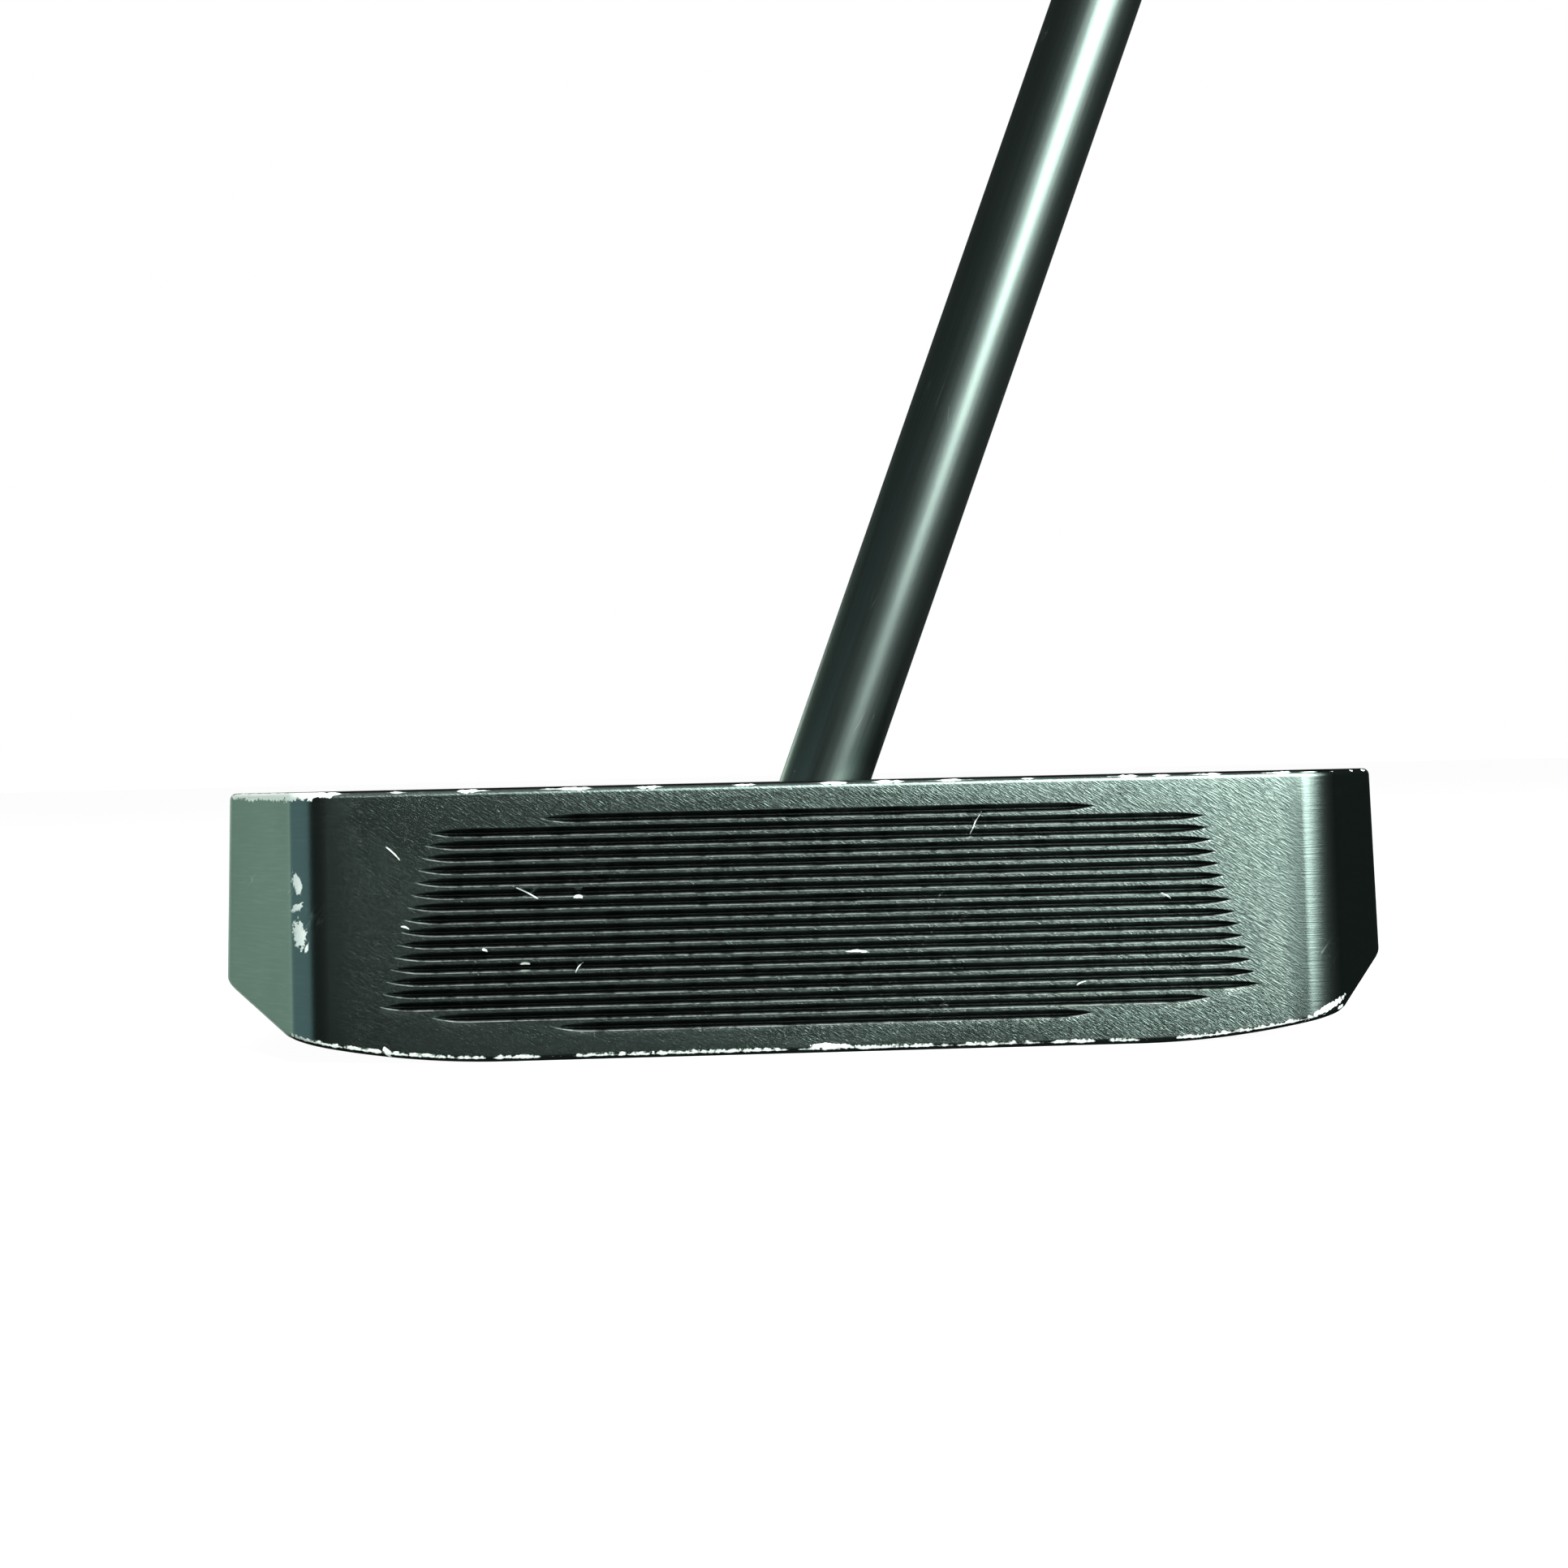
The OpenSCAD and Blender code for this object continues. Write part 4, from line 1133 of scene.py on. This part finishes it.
# ---- Grip tape and core ----------------------------------------------------------
# Double-sided paper tape on the butt of the shaft, and over it a moulded core of
# closed-cell foam that gives the grip its shape.
tape, tree, surface = finish("paper_tape", roughness=0.8)
place = millimetres(tree)
crepe = put(tree, "VectorMath", {0: place, 1: (0.5, 0.5, 2.2)}, operation="MULTIPLY")
wrinkle = noise(tree, crepe.outputs[0], 1.0, 4.0)
tree.links.new(mix_colour(tree, wrinkle, (0.70, 0.66, 0.53, 1), (0.84, 0.81, 0.70, 1)),
               surface["Base Color"])
relief(tree, surface, wrinkle, 0.0001, 0.6)
dress(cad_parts["grip_tape"], tape)

foam, tree, surface = finish("closed_cell_foam", roughness=0.9)
place = millimetres(tree)
cells = put(tree, "TexVoronoi", {"Vector": place, "Scale": 3.0}).outputs["Distance"]
tree.links.new(mix_colour(tree, cells, (0.09, 0.09, 0.09, 1), (0.16, 0.16, 0.16, 1)), surface["Base Color"])
relief(tree, surface, cells, 0.0001, 0.8)
dress(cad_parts["grip_core"], foam)

# ---- Seam stitching --------------------------------------------------------------
# Waxed grey thread in one row of slanting stitches over the seam on the palm side. Each
# stitch bows up from the skin and goes down through a hole at both ends.
STITCH_PITCH, STITCH_L, THREAD_D = 6.0, 3.6, 0.7
STITCH_SLANT = math.radians(24)
STITCH_MARGIN = 8
threads = Shell()
bends, thread_sides = 12, 10
s = STITCH_MARGIN
while s <= SKIN_L - STITCH_MARGIN:
    rows = []
    for k in range(bends + 1):
        u = 2 * k / bends - 1
        reach = u * STITCH_L / 2
        y, up = -reach * math.cos(STITCH_SLANT), reach * math.sin(STITCH_SLANT)
        angle = y / (GRIP_W / 2)
        skin_x = grip_point(angle, (s + up) / SKIN_L, 0).x
        lift = THREAD_D * (0.62 * (1 - abs(u) ** 4) - 0.34)
        radius = THREAD_D / 2 * (1 - 0.25 * abs(u) ** 6)
        row = []
        for i in range(thread_sides):
            a = 2 * math.pi * i / thread_sides
            twist = 1 + 0.07 * math.cos(2 * a - 9 * u)
            out, side = radius * twist * math.cos(a), radius * twist * math.sin(a)
            row.append(threads.add(axis_frame @ Vector((
                skin_x + lift + out, y + side * math.sin(STITCH_SLANT),
                SKIN_AT + s + up + side * math.cos(STITCH_SLANT)))))
        rows.append(row)
    for a, b in zip(rows, rows[1:]):
        threads.strip(b, a)
    threads.faces.append(rows[0])
    threads.faces.append(rows[-1][::-1])
    s += STITCH_PITCH
stitching = threads.build("seam_stitches", 60)
thread, tree, surface = finish("waxed_thread", roughness=0.6)
place = millimetres(tree)
strand_at = put(tree, "VectorRotate", {"Vector": place, "Angle": 0.9}, rotation_type="X_AXIS")
strands = put(tree, "TexWave", {"Vector": strand_at.outputs[0], "Scale": 2.2, "Distortion": 1.0},
              bands_direction="Z").outputs["Fac"]
tree.links.new(mix_colour(tree, strands, (0.20, 0.215, 0.21, 1), (0.36, 0.38, 0.37, 1)),
               surface["Base Color"])
relief(tree, surface, strands, 0.00008, 0.8)
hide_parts("seam_stitching")
dress(stitching, thread, "thread")

# ---- Grip cap, plug and collar ---------------------------------------------------
# The cap is a moulded rubber end with a rounded rim and a ring round its vent, closed by
# a plastic plug. The collar is a rubber ring that covers the lower end of the skin.
VENT_R, PLUG_R, PLUG_T = 2.5, 5.0, 1.3
cap = Shell()
rows = []
CAP_RIM = [(0.25, 0), (0, 0.25), (0, 3.0), (0.15, 3.7), (0.5, 4.3), (1.0, 4.72), (1.8, 5.0),
           (2.6, 5.0), (2.9, 4.8), (3.3, 4.8), (3.6, 5.0)]
for inset, z in CAP_RIM:
    row = []
    for i in range(GRIP_SIDES):
        p = grip_point(2 * math.pi * i / GRIP_SIDES, 1, inset)
        row.append(cap.add(axis_frame @ Vector((p.x, p.y, BUTT_AT + z))))
    rows.append(row)
for r, z in ((PLUG_R + 0.5, 5.0), (PLUG_R, 4.8), (PLUG_R, CAP_T - PLUG_T - 0.2),
             (VENT_R, CAP_T - PLUG_T - 0.2), (VENT_R, 0)):
    row = []
    for i in range(GRIP_SIDES):
        a = 2 * math.pi * i / GRIP_SIDES
        row.append(cap.add(axis_frame @ Vector((r * math.cos(a), r * math.sin(a), BUTT_AT + z))))
    rows.append(row)
for a, b in zip(rows, rows[1:] + rows[:1]):
    cap.strip(a, b)
grip_cap = cap.build("grip_cap_moulded", 40)
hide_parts("grip_cap")


def rubber(name, dark, light, gloss):
    """Moulded rubber: fine spark-eroded texture, a bloom on the surface and a little dust."""
    material, tree, surface = finish(name)
    place = millimetres(tree)
    bloom = noise(tree, place, 0.15, 4.0, 0.6)
    eroded = noise(tree, place, 4.5, 3.0, 0.6)
    body = mix_colour(tree, bloom, dark, light)
    dusty = apply_effect(tree, specks, {"Size": 0.1, "Amount": 0.08})
    body = mix_colour(tree, times(tree, dusty, 0.5), body, (0.3, 0.31, 0.3, 1))
    tree.links.new(body, surface["Base Color"])
    tree.links.new(scaled(tree, eroded, 0.2, gloss), surface["Roughness"])
    relief(tree, surface, eroded, 0.00006, 0.7)
    return material


dress(grip_cap, rubber("cap_rubber", (0.018, 0.019, 0.019, 1), (0.034, 0.036, 0.036, 1), 0.5),
      "cap_rubber")

plug_face = BUTT_AT + CAP_T - 0.1
plug_profile = [(0, BUTT_AT + 0.1), (VENT_R - 0.25, BUTT_AT + 0.1), (VENT_R - 0.05, BUTT_AT + 0.4),
                (VENT_R - 0.05, plug_face - PLUG_T), (PLUG_R - 0.3, plug_face - PLUG_T),
                (PLUG_R - 0.1, plug_face - PLUG_T + 0.2), (PLUG_R - 0.1, plug_face - 0.35),
                (PLUG_R - 0.2, plug_face - 0.1), (PLUG_R - 0.5, plug_face), (3.2, plug_face),
                (2.9, plug_face - 0.25), (1.2, plug_face - 0.4), (0, plug_face - 0.42)]
plug = lathe("vent_plug", plug_profile, 64, 50)
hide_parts("cap_plug")
dress(plug, rubber("plug_plastic", (0.19, 0.20, 0.20, 1), (0.26, 0.27, 0.27, 1), 0.35), "plug_plastic")

TAPE_R = BUTT_D / 2 + 0.25
collar_s = [(TAPE_R, 0), (GRIP_LOW_R - 1.6, 0), (GRIP_LOW_R - 1.1, 0.3), (GRIP_LOW_R - 0.6, 0.9),
            (GRIP_LOW_R - 0.25, 1.6), (GRIP_LOW_R, 2.4), (GRIP_LOW_R, 4.0), (GRIP_LOW_R - 0.3, 4.2),
            (GRIP_LOW_R - 0.3, 4.7), (GRIP_LOW_R, 4.9), (GRIP_LOW_R, 6.6), (GRIP_LOW_R - 0.35, COLLAR_L),
            (TAPE_R, COLLAR_L)]
collar = lathe("grip_collar_ring", [(r, GRIP_AT + s) for r, s in collar_s], 96, 50)
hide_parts("grip_collar")
dress(collar, rubber("collar_rubber", (0.030, 0.032, 0.032, 1), (0.050, 0.053, 0.053, 1), 0.45),
      "collar_rubber")
